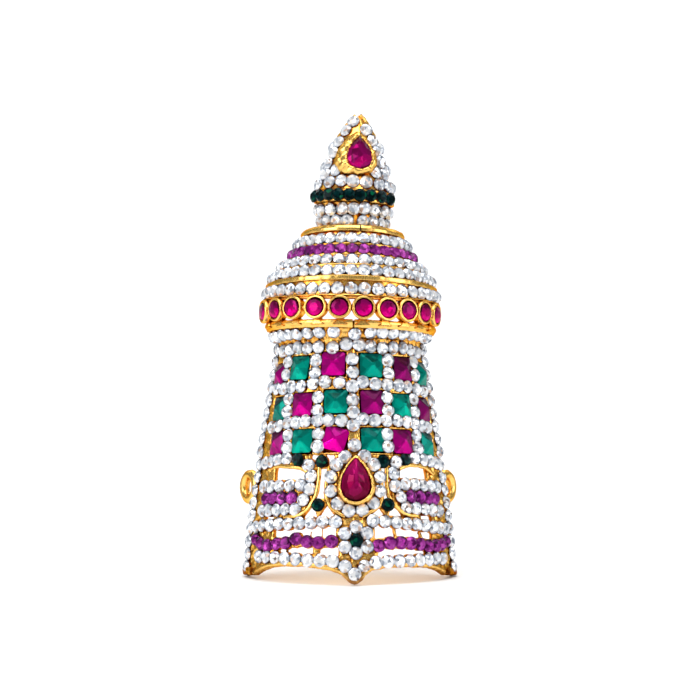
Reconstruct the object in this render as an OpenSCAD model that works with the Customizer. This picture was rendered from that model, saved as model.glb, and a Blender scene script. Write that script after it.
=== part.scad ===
// Half crown for a small deity figure: a cast metal half shell set with glass stones.
// Modelled upright about the crown's axis (+Z), with its front towards -Y, then leaned back
// so that it stands on its front point and its two rear feet.
// Angles go round the axis from the front, positive towards +X.

/* [Body] */
// Half of the angle that the shell covers, from the front to each rear edge
edge_angle = 83; // [80:1:86]
// Radius of the metal where the base panel starts
foot_r = 22.1; // [21.5:0.1:22.6]
// Radius of the metal at the neck, the narrowest place
neck_r = 15.2; // [14.8:0.1:15.6]
// Thickness of the cast wall
wall = 1.1; // [1:0.1:1.3]
// Height of the neck above the feet
neck_z = 47.4; // [47:0.1:48]

/* [Bottom edge] */
// Height of the front point, which hangs below the feet's level
peak_z = -1.8; // [-2.2:0.1:-1.4]
// Angle of the front point
peak_angle = 2.5; // [1:0.5:4]
// Height of the two rear feet
foot_z = 0.35; // [0.2:0.05:0.6]

/* [Stones] */
// Diameter of a small round stone
small_d = 2.3; // [2.1:0.05:2.3]
// Height of a small stone from its back to its table
small_h = 0.9; // [0.8:0.05:1.1]
// Width of a square stone
square_w = 4.9; // [4.6:0.1:5]
// Height of a square stone
square_h = 1.7; // [1.4:0.1:2]
// Depth of the pocket that holds a square stone
pocket = 0.6; // [0.4:0.1:0.7]
// Diameter of a gallery stone
ruby_d = 3.8; // [3.6:0.1:3.9]
// Gap between a stone's back and the metal
seat_gap = 0.06; // [0.05:0.01:0.1]
// Width and height of the pear stone on the base
base_pear = [5.9, 8.9]; // [5:0.1:9]
// Width and height of the pear stone on the finial
finial_pear = [5.2, 7.6]; // [4:0.1:8]

/* [Gallery and dome] */
// Height of the gallery stones' centres
gallery_z = 55.15; // [55:0.05:55.3]
// Outer diameter of a collet at its front
collet_d = 4.94; // [4.9:0.02:4.98]
// Radius of the collets' front faces
collet_face_r = 19.6; // [19.6:0.1:19.8]
// Depth of a collet from front to back
collet_depth = 2.35; // [2.2:0.05:2.4]
// Taper of a collet's side towards the crown's axis
collet_taper = 7.6; // [7:0.1:8]
// Sideways tilt of the gallery and the dome, right side down
dome_roll = 1.3; // [0:0.1:2]
// How far the dome above its lowest row leans back
dome_pitch = 3.2; // [0:0.1:4]
// Height of the rim on top of the dome
rim_z = 73.9; // [73.6:0.1:74]
// Radius of that rim
rim_r = 10.7; // [10.5:0.1:10.9]

/* [Finial] */
// Sideways tilt of the finial on the dome
finial_roll = 1.4; // [0:0.1:3]
// Largest radius of the bud's metal
bud_r = 8.6; // [8.4:0.1:8.7]
// Height of that radius, where the ring of dark stones sits
bud_z = 80; // [79.8:0.1:80.2]
// Height of the finial's tip
tip_z = 98.2; // [97.5:0.1:98.6]

/* [Tie loops] */
// Height of the two loops' centres
loop_z = 19; // [18:0.1:20]
// Radius of a loop to the middle of its wire
loop_r = 2.6; // [2.5:0.05:2.8]
// Radius of the loop's wire
loop_wire = 1.05; // [0.9:0.05:1.1]
// Distance of each loop's centre from the crown's middle plane, left and right
loop_x = [21, 20.2]; // [20:0.1:21.2]
// How far each loop is turned, from facing the front to facing the side
loop_turn = 60; // [50:1:65]

/* [Hidden] */
$fn = 96;

// Outer metal of the body. Columns: height, radius
BODY = [
    [-3, foot_r + 0.2],
    [0, foot_r],
    [7, foot_r - 0.6],
    [14, foot_r - 1.4],
    [neck_z, neck_r],
    [neck_z + 1.5, neck_r + 0.1],
    [neck_z + 3.2, neck_r + 1.6],
    [neck_z + 4.4, neck_r + 2.1]
];

// Lower edge of the shell. Columns: angle, height
EDGE = [
    [-84, foot_z], [-63, foot_z], [-56, 1.2], [-48, 1.9], [-38, 2.1], [-28, 2.0], [-18, 1.7],
    [-10, 1.1], [-4, 0.2], [peak_angle, peak_z], [8, 0.2], [12, 1.1], [20, 1.7], [30, 1.9],
    [42, 1.9], [50, 1.7], [57, 1.1], [63, foot_z], [84, foot_z]
];

// Openings cut through the base panel. Columns: first angle, last angle, low, high
WINDOWS = [
    [-42, -31.5, 4.75, 5.5], [-29.5, -22, 4.75, 5.5], [-15.5, -7.5, 4.4, 5.3],
    [17, 24, 4.3, 5.2], [26, 33.5, 4.4, 5.3], [35.5, 42, 4.5, 5.3], [44, 55, 4.7, 5.4],
    [-47, -36, 8.4, 9.5], [-34, -24, 8.5, 9.7], [-21.5, -17, 8.3, 9.7], [-14.5, -8.5, 8.2, 9.7],
    [15, 24, 8.1, 9.8], [28, 42, 8.3, 9.7], [45, 52, 8.2, 9.2],
    [-57, -50.5, 11.2, 12.2], [46, 53, 11.4, 12.2],
    [-52, -28.5, 20.05, 22.2],
    [33, 43, 20.2, 22.4], [44.5, 54, 20.4, 22.2],
    [-19.3, -15.3, 16.2, 21.6], [20, 23.8, 16.2, 21.6]
];

// Three-cornered openings beside the low green stones.
// Columns: angle, height, half width in mm, height in mm, sideways shift of the top corner
CORNERS = [
    [-23.2, 12.6, 1.2, 1.8, 0.4], [-12.6, 12.7, 1.4, 1.7, -0.3],
    [16.2, 12.9, 1.2, 1.6, 0.3], [26.8, 13.0, 1.3, 1.7, -0.5]
];

// Stones of the base panel in straight runs.
// Columns: colour, first angle, first height, last angle, last height, how many
CLEAR = 0;
PURPLE = 1;
GREEN = 2;
BASE_RUNS = [
    [CLEAR, -9, 3.0, -58.5, 4.2, 8],
    [CLEAR, 13.9, 2.8, 60.5, 3.8, 8],
    [CLEAR, -2.6, 2.0, -2.6, 2.0, 1],
    [CLEAR, 2.5, 0.3, 2.5, 0.3, 1],
    [CLEAR, 7.6, 2.0, 7.6, 2.0, 1],
    [CLEAR, -8, 11.1, -65, 10.4, 9],
    [CLEAR, 12.9, 11.3, 67, 9.9, 9],
    [CLEAR, -32.3, 13.7, -59.9, 13.6, 5],
    [CLEAR, 33.5, 14.0, 61.7, 13.6, 5],
    [PURPLE, -35.6, 16.1, -57.4, 16.1, 4],
    [PURPLE, 37.5, 16.4, 58.7, 16.1, 4],
    [CLEAR, -30.2, 18.6, -61.6, 18.6, 5],
    [CLEAR, 34.2, 18.9, 62.6, 18.6, 5],
    [CLEAR, -43, 24.3, -65, 23.6, 4],
    [CLEAR, 44.4, 24.3, 67, 23.6, 4],
    [CLEAR, -75, 2.2, -75, 23.4, 9],
    [CLEAR, 75, 2.2, 75, 23.4, 9],
    [GREEN, -18, 14.5, 21.6, 14.5, 2],
    [GREEN, -17.2, 23.4, 20.6, 23.4, 2],
    [GREEN, -33.4, 23.9, 36.2, 23.9, 2]
];

// Purple stones of the long lower rows, charted by eye. Columns: angle, height
LOW_PURPLES = [
    [-10, 7.0], [-17.1, 6.8], [-24, 7.0], [-30.8, 7.7], [-37.4, 6.8], [-44.2, 6.7], [-51.2, 6.4],
    [-58, 6.9], [-64.6, 7.8],
    [15.5, 6.2], [22.0, 6.8], [28.6, 6.9], [35.0, 6.8], [41.4, 6.6], [47.9, 6.3], [54.4, 6.4],
    [60.8, 6.8], [67, 7.4]
];

// Single stones on the curls beside the pear, charted by eye. Columns: angle, height
CURLS = [
    [-27.4, 15.6], [-23.9, 17.8], [-23.6, 20.4], [-25.8, 22.8],
    [30.6, 16.2], [27.2, 18.4], [26.8, 21.0], [29.0, 23.4]
];

// Square stones. Columns: height, angle, colour, turn in its pocket
PINK = 3;
SQUARES = [
    [42, -65.5, PINK, 0], [43.1, -41, GREEN, 0], [43.7, -12.6, PINK, 0],
    [43.4, 16, GREEN, 0], [42.9, 43.4, PINK, 0], [42.3, 68.5, GREEN, 0],
    [34.8, -58.3, GREEN, 0], [35.3, -34.9, PINK, 0], [35.8, -9.8, GREEN, 0],
    [35.7, 15.5, PINK, 0], [35.1, 38.3, GREEN, 0], [34.7, 63, PINK, 0],
    [27.55, -55.5, PINK, 0], [27.7, -32.3, GREEN, 0], [28, -9.6, PINK, -13],
    [27.9, 14.8, GREEN, 0], [27.6, 35.8, PINK, 0], [27.3, 60.5, GREEN, 0]
];

// Angles of the ten collets round the gallery, which aren't quite evenly spaced
RUBY_ANGLES = [-71.2, -54.4, -38.9, -22.4, -6.9, 7.8, 23.1, 37.8, 52.5, 67.2];

// Steps of the dome, from the gallery up. Columns: height of the seat's middle, radius there,
// lean of the seat, how far a ledge stands out under it, how many stones, colour
STEPS = [
    [59.1, 18.15, 8, 0, 15, CLEAR],
    [62.9, 17.1, 24, 0.7, 15, CLEAR],
    [65.5, 15.1, 36, 0.5, 13, CLEAR],
    [68.0, 13.3, 38, 0, 13, PURPLE],
    [70.6, 11.7, 30, 0, 11, CLEAR]
];
seat_half = 1.25;
row_reach = [61, 60, 60, 61, 57];
// The point on the dome's front, as y and height, that stays in place as its upper part leans back
pitch_pivot = [-16, 64];

// Outer metal of the bud. Columns: height, radius
bud_foot_z = 72.2;
BUD = [
    [bud_foot_z, 6.6], [74.5, 6.8], [77.3, 7.5], [78.5, 7.8], [78.8, bud_r], [81.2, bud_r],
    [81.4, 8.1], [82.6, 7.7], [85.2, 6.7], [87.8, 6.0], [90.4, 5.15], [93, 3.9], [95.5, 2.45],
    [97.4, 1.15], [tip_z, 0.3]
];
// The hollow inside it
BUD_HOLLOW = [
    [tip_z - 3, 0.3], [93, 2.3], [90.4, 3.8], [87.8, 4.9], [85.2, 5.7], [82.6, 6.6],
    [bud_z, 7.2], [77.3, 6.5], [74.5, 5.8], [bud_foot_z, 5.6]
];
// Angles of the dark stones round the bud
BUD_GREENS = [-71, -54, -37.5, -22, -7, 8, 23.5, 41, 59.5];

base_pear_seat = [3.2, 19.5];
finial_pear_angle = 6;
finial_pear_z = 89.4;
finial_pear_r = 5.35;
finial_pear_lean = 15;

// The crown rests on its front point and on the inner corners of its rear feet
inner_foot_r = foot_r - wall;
lean_back = atan((foot_z - peak_z) / (inner_foot_r * (cos(peak_angle) - cos(edge_angle))));
lift = -peak_z * cos(lean_back) - inner_foot_r * cos(peak_angle) * sin(lean_back);

gold = "goldenrod";
TINTS = ["aliceblue", "mediumorchid", "darkgreen", "deeppink"];

function count_of(colour) = [for (s = SQUARES) if (s[2] == colour) s];
function numbered(name, n) = [for (i = [1 : n]) str(name, "_", i)];

// Radius of the body's metal at a height, and how far its surface leans back there
function body_r(z) = lookup(z, BODY);
function body_lean(z) = atan2(body_r(z - 0.8) - body_r(z + 0.8), 1.6);

// A seat is a place on the metal: angle, height, radius, lean and turn
function on_body(angle, z, sunk = 0, turn = 0) =
    let (lean = body_lean(z)) [angle, z, body_r(z) - sunk / cos(lean), lean, turn];

// Turns a point given on the seat (right, up, out) into the crown's own axes
function from_seat(s, p) =
    let (
        u = p[0] * cos(s[4]) - p[1] * sin(s[4]),
        v = p[0] * sin(s[4]) + p[1] * cos(s[4]),
        r = s[2] + p[2] * cos(s[3]) - v * sin(s[3]),
        z = s[1] + p[2] * sin(s[3]) + v * cos(s[3])
    ) [r * sin(s[0]) + u * cos(s[0]), u * sin(s[0]) - r * cos(s[0]), z];

// Stones are three rings of points: the back, the girdle and the table
function ring(n, r, h, shift = 0) =
    [for (i = [0 : n - 1]) [r * cos(360 * (i + shift) / n), r * sin(360 * (i + shift) / n), h]];
function round_stone(n, d, h) = concat(
    ring(n, d * 0.4, 0), ring(n, d / 2, h * 0.4), ring(n, d * 0.31, h, 0.5));
// A square outline with its corners cut off
function square_ring(w, cut, h) = [
    for (q = [0 : 3], e = [-1, 1]) let (x = w / 2, y = e * (w / 2 - cut))
        [x * cos(90 * q) - y * sin(90 * q), x * sin(90 * q) + y * cos(90 * q), h]];
function square_stone(w, h) = concat(
    square_ring(w * 0.9, 0.3, 0), square_ring(w, 0.35, h * 0.35), square_ring(w * 0.3, 0.2, h));
// A pear outline with its point upwards. The two numbers keep it convex and as wide as it should be
pear_power = 0.8;
pear_width = 0.623;
function pear_ring(size, h, n = 24) = [
    for (i = [0 : n - 1]) let (t = 360 * (i + 0.5) / n)
        [-pear_width * size[0] * sin(t) * pow(sin(t / 2), pear_power), size[1] / 2 * cos(t), h]];
function pear_stone(size, h, n = 24) = concat(
    pear_ring(size * 0.9, 0, n), pear_ring(size, h * 0.35, n),
    pear_ring([size[0] * 0.3, size[1] * 0.5], h, n));

// Faces of a three-ring stone whose points start at index k
function stone_faces(n, k) = concat(
    [[for (i = [0 : n - 1]) k + i]],
    [for (level = [0, 1], i = [0 : n - 1]) let (a = k + level * n + i, b = k + level * n + (i + 1) % n)
        [a, a + n, b]],
    [for (level = [0, 1], i = [0 : n - 1]) let (a = k + level * n + i, b = k + level * n + (i + 1) % n)
        [b, a + n, b + n]],
    [[for (i = [n - 1 : -1 : 0]) k + 2 * n + i]]);

// One solid holding a stone of the given shape on each seat
module stones(shape, seats) {
    n = len(shape) / 3;
    points = [for (s = seats, p = shape) from_seat(s, p + [0, 0, seat_gap])];
    faces = [for (i = [0 : len(seats) - 1], f = stone_faces(n, i * len(shape))) f];
    polyhedron(points, faces, convexity = 10);
}

// Places of the small stones
function run_of(row) = [
    for (i = [0 : row[5] - 1]) let (k = row[5] > 1 ? i / (row[5] - 1) : 0)
        on_body(row[1] + k * (row[3] - row[1]), row[2] + k * (row[4] - row[2]))];
function base_runs(colour) = [for (row = BASE_RUNS) if (row[0] == colour) each run_of(row)];
function charted(table) = [for (c = table) on_body(c[0], c[1])];
// Five or six stones set round a middle, each one stone's width away from it
flower_seat = [3.3, 7.3];
flower_r = 2.65;
function flower() = [
    for (i = [0 : 5]) let (a = 30 + 60 * i, z = flower_seat[1] + flower_r * sin(a))
        on_body(flower_seat[0] + flower_r * cos(a) / body_r(z) * 180 / PI, z)];
// Oval of clear stones round the base pear's cup, open at its point, and three above the point
halo = [5.2, 5.7];
halo_drop = 0.6;
halo_step = 29.6;
halo_count = 10;
function pear_halo() = [
    for (i = [0 : halo_count - 1])
        let (
            a = -90 + (i - (halo_count - 1) / 2) * halo_step,
            z = base_pear_seat[1] - halo_drop + halo[1] * sin(a)
        )
        on_body(base_pear_seat[0] + halo[0] * cos(a) / body_r(z) * 180 / PI, z)];
HALO_TOP = [[-3.0, 24.3], [8.9, 24.45], [2.7, 26.75]];
function step_seats(i) =
    let (s = STEPS[i])
    [for (k = [0 : s[4] - 1]) [row_reach[i] * (2 * k / (s[4] - 1) - 1), s[0], s[1], s[2], 0]];
function cap_seats(colour) = [
    for (i = [1 : len(STEPS) - 1]) if (STEPS[i][5] == colour) each step_seats(i)];

// Sweeps an outline of [height, radius] points round the axis between two angles
module swept(outline, first = -edge_angle, last = edge_angle) {
    rotate_extrude(angle = last - first, start = first - 90)
        polygon([for (p = outline) [p[1], p[0]]]);
}
// A band between two heights and two radii
module band(low, high, inner, outer, first = -edge_angle, last = edge_angle) {
    swept([[low, inner], [low, outer], [high, outer], [high, inner]], first, last);
}
// Sets its children on a seat: x to the right, y up the surface, z out of it
module on_seat(s) {
    rotate([0, 0, s[0]]) translate([0, -s[2], s[1]]) rotate([90 - s[3], 0, 0])
        rotate([0, 0, s[4]]) children();
}
// Upper half: the gallery and dome lean to the right as they do on the crown
module rolled() {
    translate([0, 0, neck_z]) rotate([0, dome_roll, 0]) translate([0, 0, -neck_z]) children();
}
// The dome above its lowest row leans back as well
module pitched() {
    rolled() translate([0, pitch_pivot[0], pitch_pivot[1]]) rotate([-dome_pitch, 0, 0])
        translate([0, -pitch_pivot[0], -pitch_pivot[1]]) children();
}
module finial_rolled() {
    rolled() translate([0, 0, rim_z]) rotate([0, finial_roll, 0]) translate([0, 0, -rim_z])
        children();
}
// The crown as it stands on a surface
module standing() {
    translate([0, 0, lift]) rotate([-lean_back, 0, 0]) children();
}

// Wall of the body, from below the lower edge to the neck
module body_wall() {
    inside = [for (i = [len(BODY) - 1 : -1 : 0]) [BODY[i][0], BODY[i][1] - wall]];
    swept(concat(BODY, inside));
}
// Everything under the lower edge
module edge_cut() {
    reach = foot_r + 2;
    points = [for (e = EDGE) [(foot_r - 0.5) * sin(e[0]), e[1]]];
    translate([0, 10, 0]) rotate([90, 0, 0]) linear_extrude(reach + 20)
        polygon(concat([[-reach, foot_z]], points, [[reach, foot_z], [reach, -5], [-reach, -5]]));
}
module windows() {
    for (w = WINDOWS) band(w[2], w[3], foot_r - 6, foot_r + 2, w[0], w[1]);
    for (c = CORNERS)
        on_seat(on_body(c[0], c[1]))
            translate([0, 0, -3]) linear_extrude(6)
                polygon([[-c[2], -0.4], [c[2], -0.4], [c[4], c[3] - 0.4]]);
}
// Pockets for the square stones, which leave the strips between them standing
module pockets() {
    side = square_w + 0.5;
    for (s = SQUARES)
        on_seat(on_body(s[1], s[0], 0, s[3]))
            translate([-side / 2, -side / 2, -pocket]) cube([side, side, 4]);
}
// A cup with a pear outline, with a recess for its stone
module pear_cup(size, rim, depth, proud, recess) {
    difference() {
        translate([0, 0, -depth]) linear_extrude(depth + proud)
            polygon([for (p = pear_ring(size + [2 * rim, 2 * rim], 0, 36)) [p[0], p[1]]]);
        translate([0, 0, recess]) linear_extrude(proud + 1)
            polygon([for (p = pear_ring(size + [0.16, 0.16], 0, 36)) [p[0], p[1]]]);
    }
}
// A ring soldered behind the rear edge and turned back, so that it stands out sideways
module tie_loop(side) {
    edge_y = -body_r(loop_z) * cos(edge_angle);
    x = side * loop_x[side < 0 ? 0 : 1];
    translate([x, edge_y + loop_r * sin(loop_turn) + 0.2, loop_z]) rotate([0, 0, side * loop_turn])
        rotate([90, 0, 0]) rotate_extrude() translate([loop_r, 0]) circle(loop_wire, $fn = 32);
}
// Its side tapers towards the axis
module collet(angle) {
    front = collet_d / 2;
    back = front - collet_depth * tan(collet_taper);
    rotate([0, 0, angle]) translate([0, 0, gallery_z]) rotate([90, 0, 0]) difference() {
        translate([0, 0, collet_face_r - collet_depth])
            cylinder(h = collet_depth, r1 = back, r2 = front);
        translate([0, 0, collet_face_r - 1.6]) cylinder(h = 4, d = ruby_d + 0.16);
    }
}
// The lower rail, the collets and a post at each rear edge
module gallery() {
    band(neck_z + 3.7, neck_z + 5.4, neck_r + 1.2, neck_r + 3);
    for (a = RUBY_ANGLES) collet(a);
    for (side = [-1, 1])
        band(neck_z + 5, gallery_z + 2.6, neck_r + 1.9, neck_r + 2.8,
            side * (edge_angle - 2.6) - 1.8, side * (edge_angle - 2.6) + 1.8);
}
// Outer points of one step: the ledge under it, if it has one, and then its seat
function step_outline(s) =
    let (
        low = [s[0] - seat_half * cos(s[2]), s[1] + seat_half * sin(s[2])],
        high = [s[0] + seat_half * cos(s[2]), s[1] - seat_half * sin(s[2])]
    )
    concat(s[3] > 0 ? [low + [-0.55, s[3]], low + [0, s[3]]] : [], [low, high]);
// Inner point of one step's wall
function step_inside(s) = [s[0] - 0.5, s[1] - 1.35 * wall / cos(s[2])];
// The upper rail and the dome's lowest step, whose wall runs up inside the cap
module dome_skirt() {
    rail_r = neck_r + 3.7;
    rail_z = gallery_z + 2.2;
    top_z = STEPS[1][0] - 0.9;
    swept(concat([[rail_z, rail_r - 2], [rail_z, rail_r], [rail_z + 0.6, rail_r]],
        step_outline(STEPS[0]),
        [[top_z - 1, rail_r - 1.3], [top_z, rail_r - 2.1], [top_z, rail_r - 3.1], step_inside(STEPS[0])]));
}
// The steps above it and the deck that carries the finial
module dome_cap() {
    inner = [for (i = [len(STEPS) - 1 : -1 : 1]) step_inside(STEPS[i])];
    bottom = step_outline(STEPS[1])[0][0];
    swept(concat([for (i = [1 : len(STEPS) - 1]) each step_outline(STEPS[i])],
        [[rim_z - 1.8, rim_r], [rim_z, rim_r - 0.1], [rim_z, 6.1], [rim_z - 0.9, 6.0],
         [rim_z - 0.9, rim_r - 1.6]], inner, [[bottom, STEPS[1][1] - 0.9]]));
}
module bud_shell() {
    swept(concat(BUD, BUD_HOLLOW));
}
function finial_pear_seat() = [finial_pear_angle, finial_pear_z, finial_pear_r, finial_pear_lean, 0];
function base_cup_seat() = on_body(base_pear_seat[0], base_pear_seat[1]);

module crown_frame() {
    color(gold) standing() {
        difference() {
            body_wall();
            edge_cut();
            windows();
            pockets();
        }
        on_seat(base_cup_seat()) pear_cup(base_pear, 0.6, 0.9, 1.3, 0.4);
        tie_loop(-1);
        tie_loop(1);
        rolled() gallery();
        rolled() dome_skirt();
        pitched() dome_cap();
        finial_rolled() bud_shell();
        finial_rolled() on_seat(finial_pear_seat()) pear_cup(finial_pear, 1.5, 2.6, 1.5, 0.6);
    }
}
module base_pear_stone() {
    color(TINTS[PINK]) standing()
        stones([for (p = pear_stone(base_pear, 2.3)) p + [0, 0, 0.4]], [base_cup_seat()]);
}
module finial_pear_stone() {
    color(TINTS[PINK]) standing() finial_rolled()
        stones([for (p = pear_stone(finial_pear, 2)) p + [0, 0, 0.6]], [finial_pear_seat()]);
}
module ruby(i) {
    floor_r = collet_face_r - 1.6;
    color(TINTS[PINK]) standing() rolled()
        stones(round_stone(12, ruby_d, 2), [[RUBY_ANGLES[i], gallery_z, floor_r, 0, 0]]);
}
module square_of(colour, i) {
    s = count_of(colour)[i];
    color(TINTS[colour]) standing()
        stones(square_stone(square_w, square_h), [on_body(s[1], s[0], pocket, s[3])]);
}
module small_stones(colour, seats) {
    color(TINTS[colour]) stones(round_stone(8, small_d, small_h), seats);
}
module base_clears() {
    standing() small_stones(CLEAR,
        concat(base_runs(CLEAR), flower(), charted(CURLS), pear_halo(), charted(HALO_TOP)));
}
module base_purples() {
    standing() small_stones(PURPLE, concat(charted(LOW_PURPLES), base_runs(PURPLE)));
}
module base_greens() {
    standing() small_stones(GREEN, concat(base_runs(GREEN), [on_body(flower_seat[0], flower_seat[1])]));
}
module dome_clears() {
    standing() {
        rolled() small_stones(CLEAR, step_seats(0));
        pitched() small_stones(CLEAR, cap_seats(CLEAR));
    }
}
module dome_purples() {
    standing() pitched() small_stones(PURPLE, cap_seats(PURPLE));
}
module bud_greens() {
    seats = [for (a = BUD_GREENS) [a, bud_z, bud_r, 0, 0]];
    standing() finial_rolled() small_stones(GREEN, seats);
}

crown_frame();
base_pear_stone();
finial_pear_stone();
for (i = [0 : len(RUBY_ANGLES) - 1])
    ruby(i);
for (i = [0 : len(count_of(PINK)) - 1])
    square_of(PINK, i);
for (i = [0 : len(count_of(GREEN)) - 1])
    square_of(GREEN, i);
base_clears();
base_purples();
base_greens();
dome_clears();
dome_purples();
bud_greens();
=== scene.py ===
"""A small deity's half crown: a cast and gold-plated half shell set with foil-backed glass stones.

Lengths in the tables are millimetres on the crown's own axis. A height is measured up that axis
from the feet, and an angle round it from the front, positive towards +X. CrownAxes turns them into
the frame's metres, with the crown leaning back on its front point and its two rear feet.
"""

import logging
import math
from dataclasses import dataclass, field
from enum import Enum
from functools import partial
from typing import Callable

import bpy
import numpy as np
from bpy.types import Camera, ColorRamp, Light, Material, Mesh, Node, NodeInputs, NodeSocket, NodeTree, Object
from mathutils import Matrix, Vector

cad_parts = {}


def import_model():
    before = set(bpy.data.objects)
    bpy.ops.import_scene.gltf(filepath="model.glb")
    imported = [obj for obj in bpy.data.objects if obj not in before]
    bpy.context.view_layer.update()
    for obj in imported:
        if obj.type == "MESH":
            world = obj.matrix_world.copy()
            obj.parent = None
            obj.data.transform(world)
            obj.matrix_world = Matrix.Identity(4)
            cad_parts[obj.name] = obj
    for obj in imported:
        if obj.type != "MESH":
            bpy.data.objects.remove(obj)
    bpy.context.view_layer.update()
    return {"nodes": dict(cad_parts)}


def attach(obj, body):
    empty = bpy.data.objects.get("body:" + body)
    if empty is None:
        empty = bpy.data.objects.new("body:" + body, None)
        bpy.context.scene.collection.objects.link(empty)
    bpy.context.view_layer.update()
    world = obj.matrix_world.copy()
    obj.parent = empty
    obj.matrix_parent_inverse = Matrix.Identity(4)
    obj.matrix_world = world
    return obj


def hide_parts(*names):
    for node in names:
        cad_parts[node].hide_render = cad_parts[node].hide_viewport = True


MM = 0.001
BODY_NAME = "root"
# How far the back of a small stone stands off the metal that it is charted on
STAND_OFF = 0.06
# A distance that is farther than any other on the wall
FAR = 9.0

Array = np.ndarray
Pair = tuple[float, float]
Triple = tuple[float, float, float]
Rows = tuple[tuple[float, ...], ...]
Table = tuple[tuple, ...]
Tones = tuple[tuple[float, str], ...]
Adder = Callable[..., Node]
log = logging.getLogger("crown")


class Part(Enum):
    """The stages of the crown, each tilted a little on the one below."""

    BODY = 0
    DOME = 1
    CAP = 2
    FINIAL = 3


class Slot(Enum):
    """Material slots that the pieces take their finish from."""

    GOLD = "gold_metal"
    RUBY = "ruby_glass"
    PINK = "pink_glass"
    GREEN = "green_glass"
    CLEAR = "clear_glass"
    PURPLE = "purple_glass"
    DARK_GREEN = "dark_green_glass"


class Side(Enum):
    """The two sides of the crown as its front is seen, with their signs along X."""

    LEFT = -1
    RIGHT = 1

    @property
    def word(self) -> str:
        """The side as it is called in the names of pieces."""
        return self.name.lower()


def cos_sin(degrees: float) -> Pair:
    """The cosine and the sine of an angle."""
    return math.cos(math.radians(degrees)), math.sin(math.radians(degrees))


def turn_about(axis: int, degrees: float, height: float = 0.0, depth: float = 0.0) -> Array:
    """A turn about the X or Y axis through a point.

    Args:
        axis: 0 for X and 1 for Y.
        degrees: The angle of the turn.
        height: Height of the point that stays in place.
        depth: Its place along Y.

    Returns:
        The 4 by 4 matrix of the turn.
    """
    c, s = cos_sin(degrees)
    turned = np.eye(4)
    a, b = (1, 2) if axis == 0 else (2, 0)
    turned[a, a] = turned[b, b] = c
    turned[b, a], turned[a, b] = s, -s
    moved = np.eye(4)
    moved[1:3, 3] = depth, height
    return moved @ turned @ np.linalg.inv(moved)


def around(angle: Array | float, radius: Array | float, height: Array | float) -> Array:
    """Points round an upright axis, from their angles in degrees, radii and heights."""
    turn = np.radians(angle)
    return np.stack(np.broadcast_arrays(radius * np.sin(turn), -radius * np.cos(turn), height), -1)


@dataclass(frozen=True)
class Outline:
    """The outer metal of a turned shape. Columns: height, radius."""

    rows: Rows
    # Half the height over which the lean is taken
    step: float = 0.8

    def radius(self, heights: Array | float) -> Array:
        """Radius of the metal at some heights."""
        table = np.array(self.rows)
        return np.interp(heights, table[:, 0], table[:, 1])

    def lean(self, heights: Array) -> Array:
        """How far the surface leans back at some heights, in degrees."""
        drop = self.radius(heights - self.step) - self.radius(heights + self.step)
        return np.degrees(np.arctan2(drop, 2 * self.step))


@dataclass(frozen=True)
class CrownAxes:
    """The crown's own axis, its body's outline, and how it stands on the surface."""

    foot_r: float = 22.1
    neck_r: float = 15.2
    neck_z: float = 47.4
    wall: float = 1.1
    edge_angle: float = 83.0
    peak_z: float = -1.8
    peak_angle: float = 2.5
    foot_z: float = 0.35
    dome_roll: float = 1.3
    cap_pitch: float = 3.2
    cap_pivot: Pair = (-16.0, 64.0)
    finial_roll: float = 1.4
    rim_z: float = 73.9

    @property
    def body(self) -> Outline:
        """The outer metal of the body, from below the feet to the gallery."""
        foot, neck, top = self.foot_r, self.neck_r, self.neck_z
        return Outline((
            (-3.0, foot + 0.2), (0.0, foot), (7.0, foot - 0.6), (14.0, foot - 1.4),
            (top, neck), (top + 1.5, neck + 0.1), (top + 3.2, neck + 1.6), (top + 4.4, neck + 2.1)))

    def matrix(self, part: Part) -> Array:
        """Works out how a stage stands in the frame.

        Args:
            part: The stage.

        Returns:
            The 4 by 4 matrix from the stage's own axes, in millimetres, to the frame, in metres.
        """
        inner = self.foot_r - self.wall
        front = cos_sin(self.peak_angle)[0]
        run = inner * (front - cos_sin(self.edge_angle)[0])
        lean_back = math.atan((self.foot_z - self.peak_z) / run)
        standing = turn_about(0, -math.degrees(lean_back))
        standing[2, 3] = -self.peak_z * math.cos(lean_back) - inner * front * math.sin(lean_back)
        whole = np.diag([MM, MM, MM, 1.0]) @ standing
        if part is not Part.BODY:
            whole = whole @ turn_about(1, self.dome_roll, self.neck_z)
        if part is Part.CAP:
            depth, height = self.cap_pivot
            whole = whole @ turn_about(0, -self.cap_pitch, height, depth)
        if part is Part.FINIAL:
            whole = whole @ turn_about(1, self.finial_roll, self.rim_z)
        return whole

    def to_frame(self, points: Array, part: Part = Part.BODY) -> Array:
        """Takes points from a stage's own axes to the frame."""
        m = self.matrix(part)
        return points @ m[:3, :3].T + m[:3, 3]

    def from_frame(self, points: Array, part: Part = Part.BODY) -> Array:
        """Takes points from the frame back to a stage's own axes."""
        m = np.linalg.inv(self.matrix(part))
        return points @ m[:3, :3].T + m[:3, 3]

    def spots(self, points: Array, part: Part = Part.BODY) -> Array:
        """Angle and height of points of the frame, on a stage's own axes."""
        own = self.from_frame(points, part)
        return np.stack([np.degrees(np.arctan2(own[:, 0], -own[:, 1])), own[:, 2]], 1)


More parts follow.
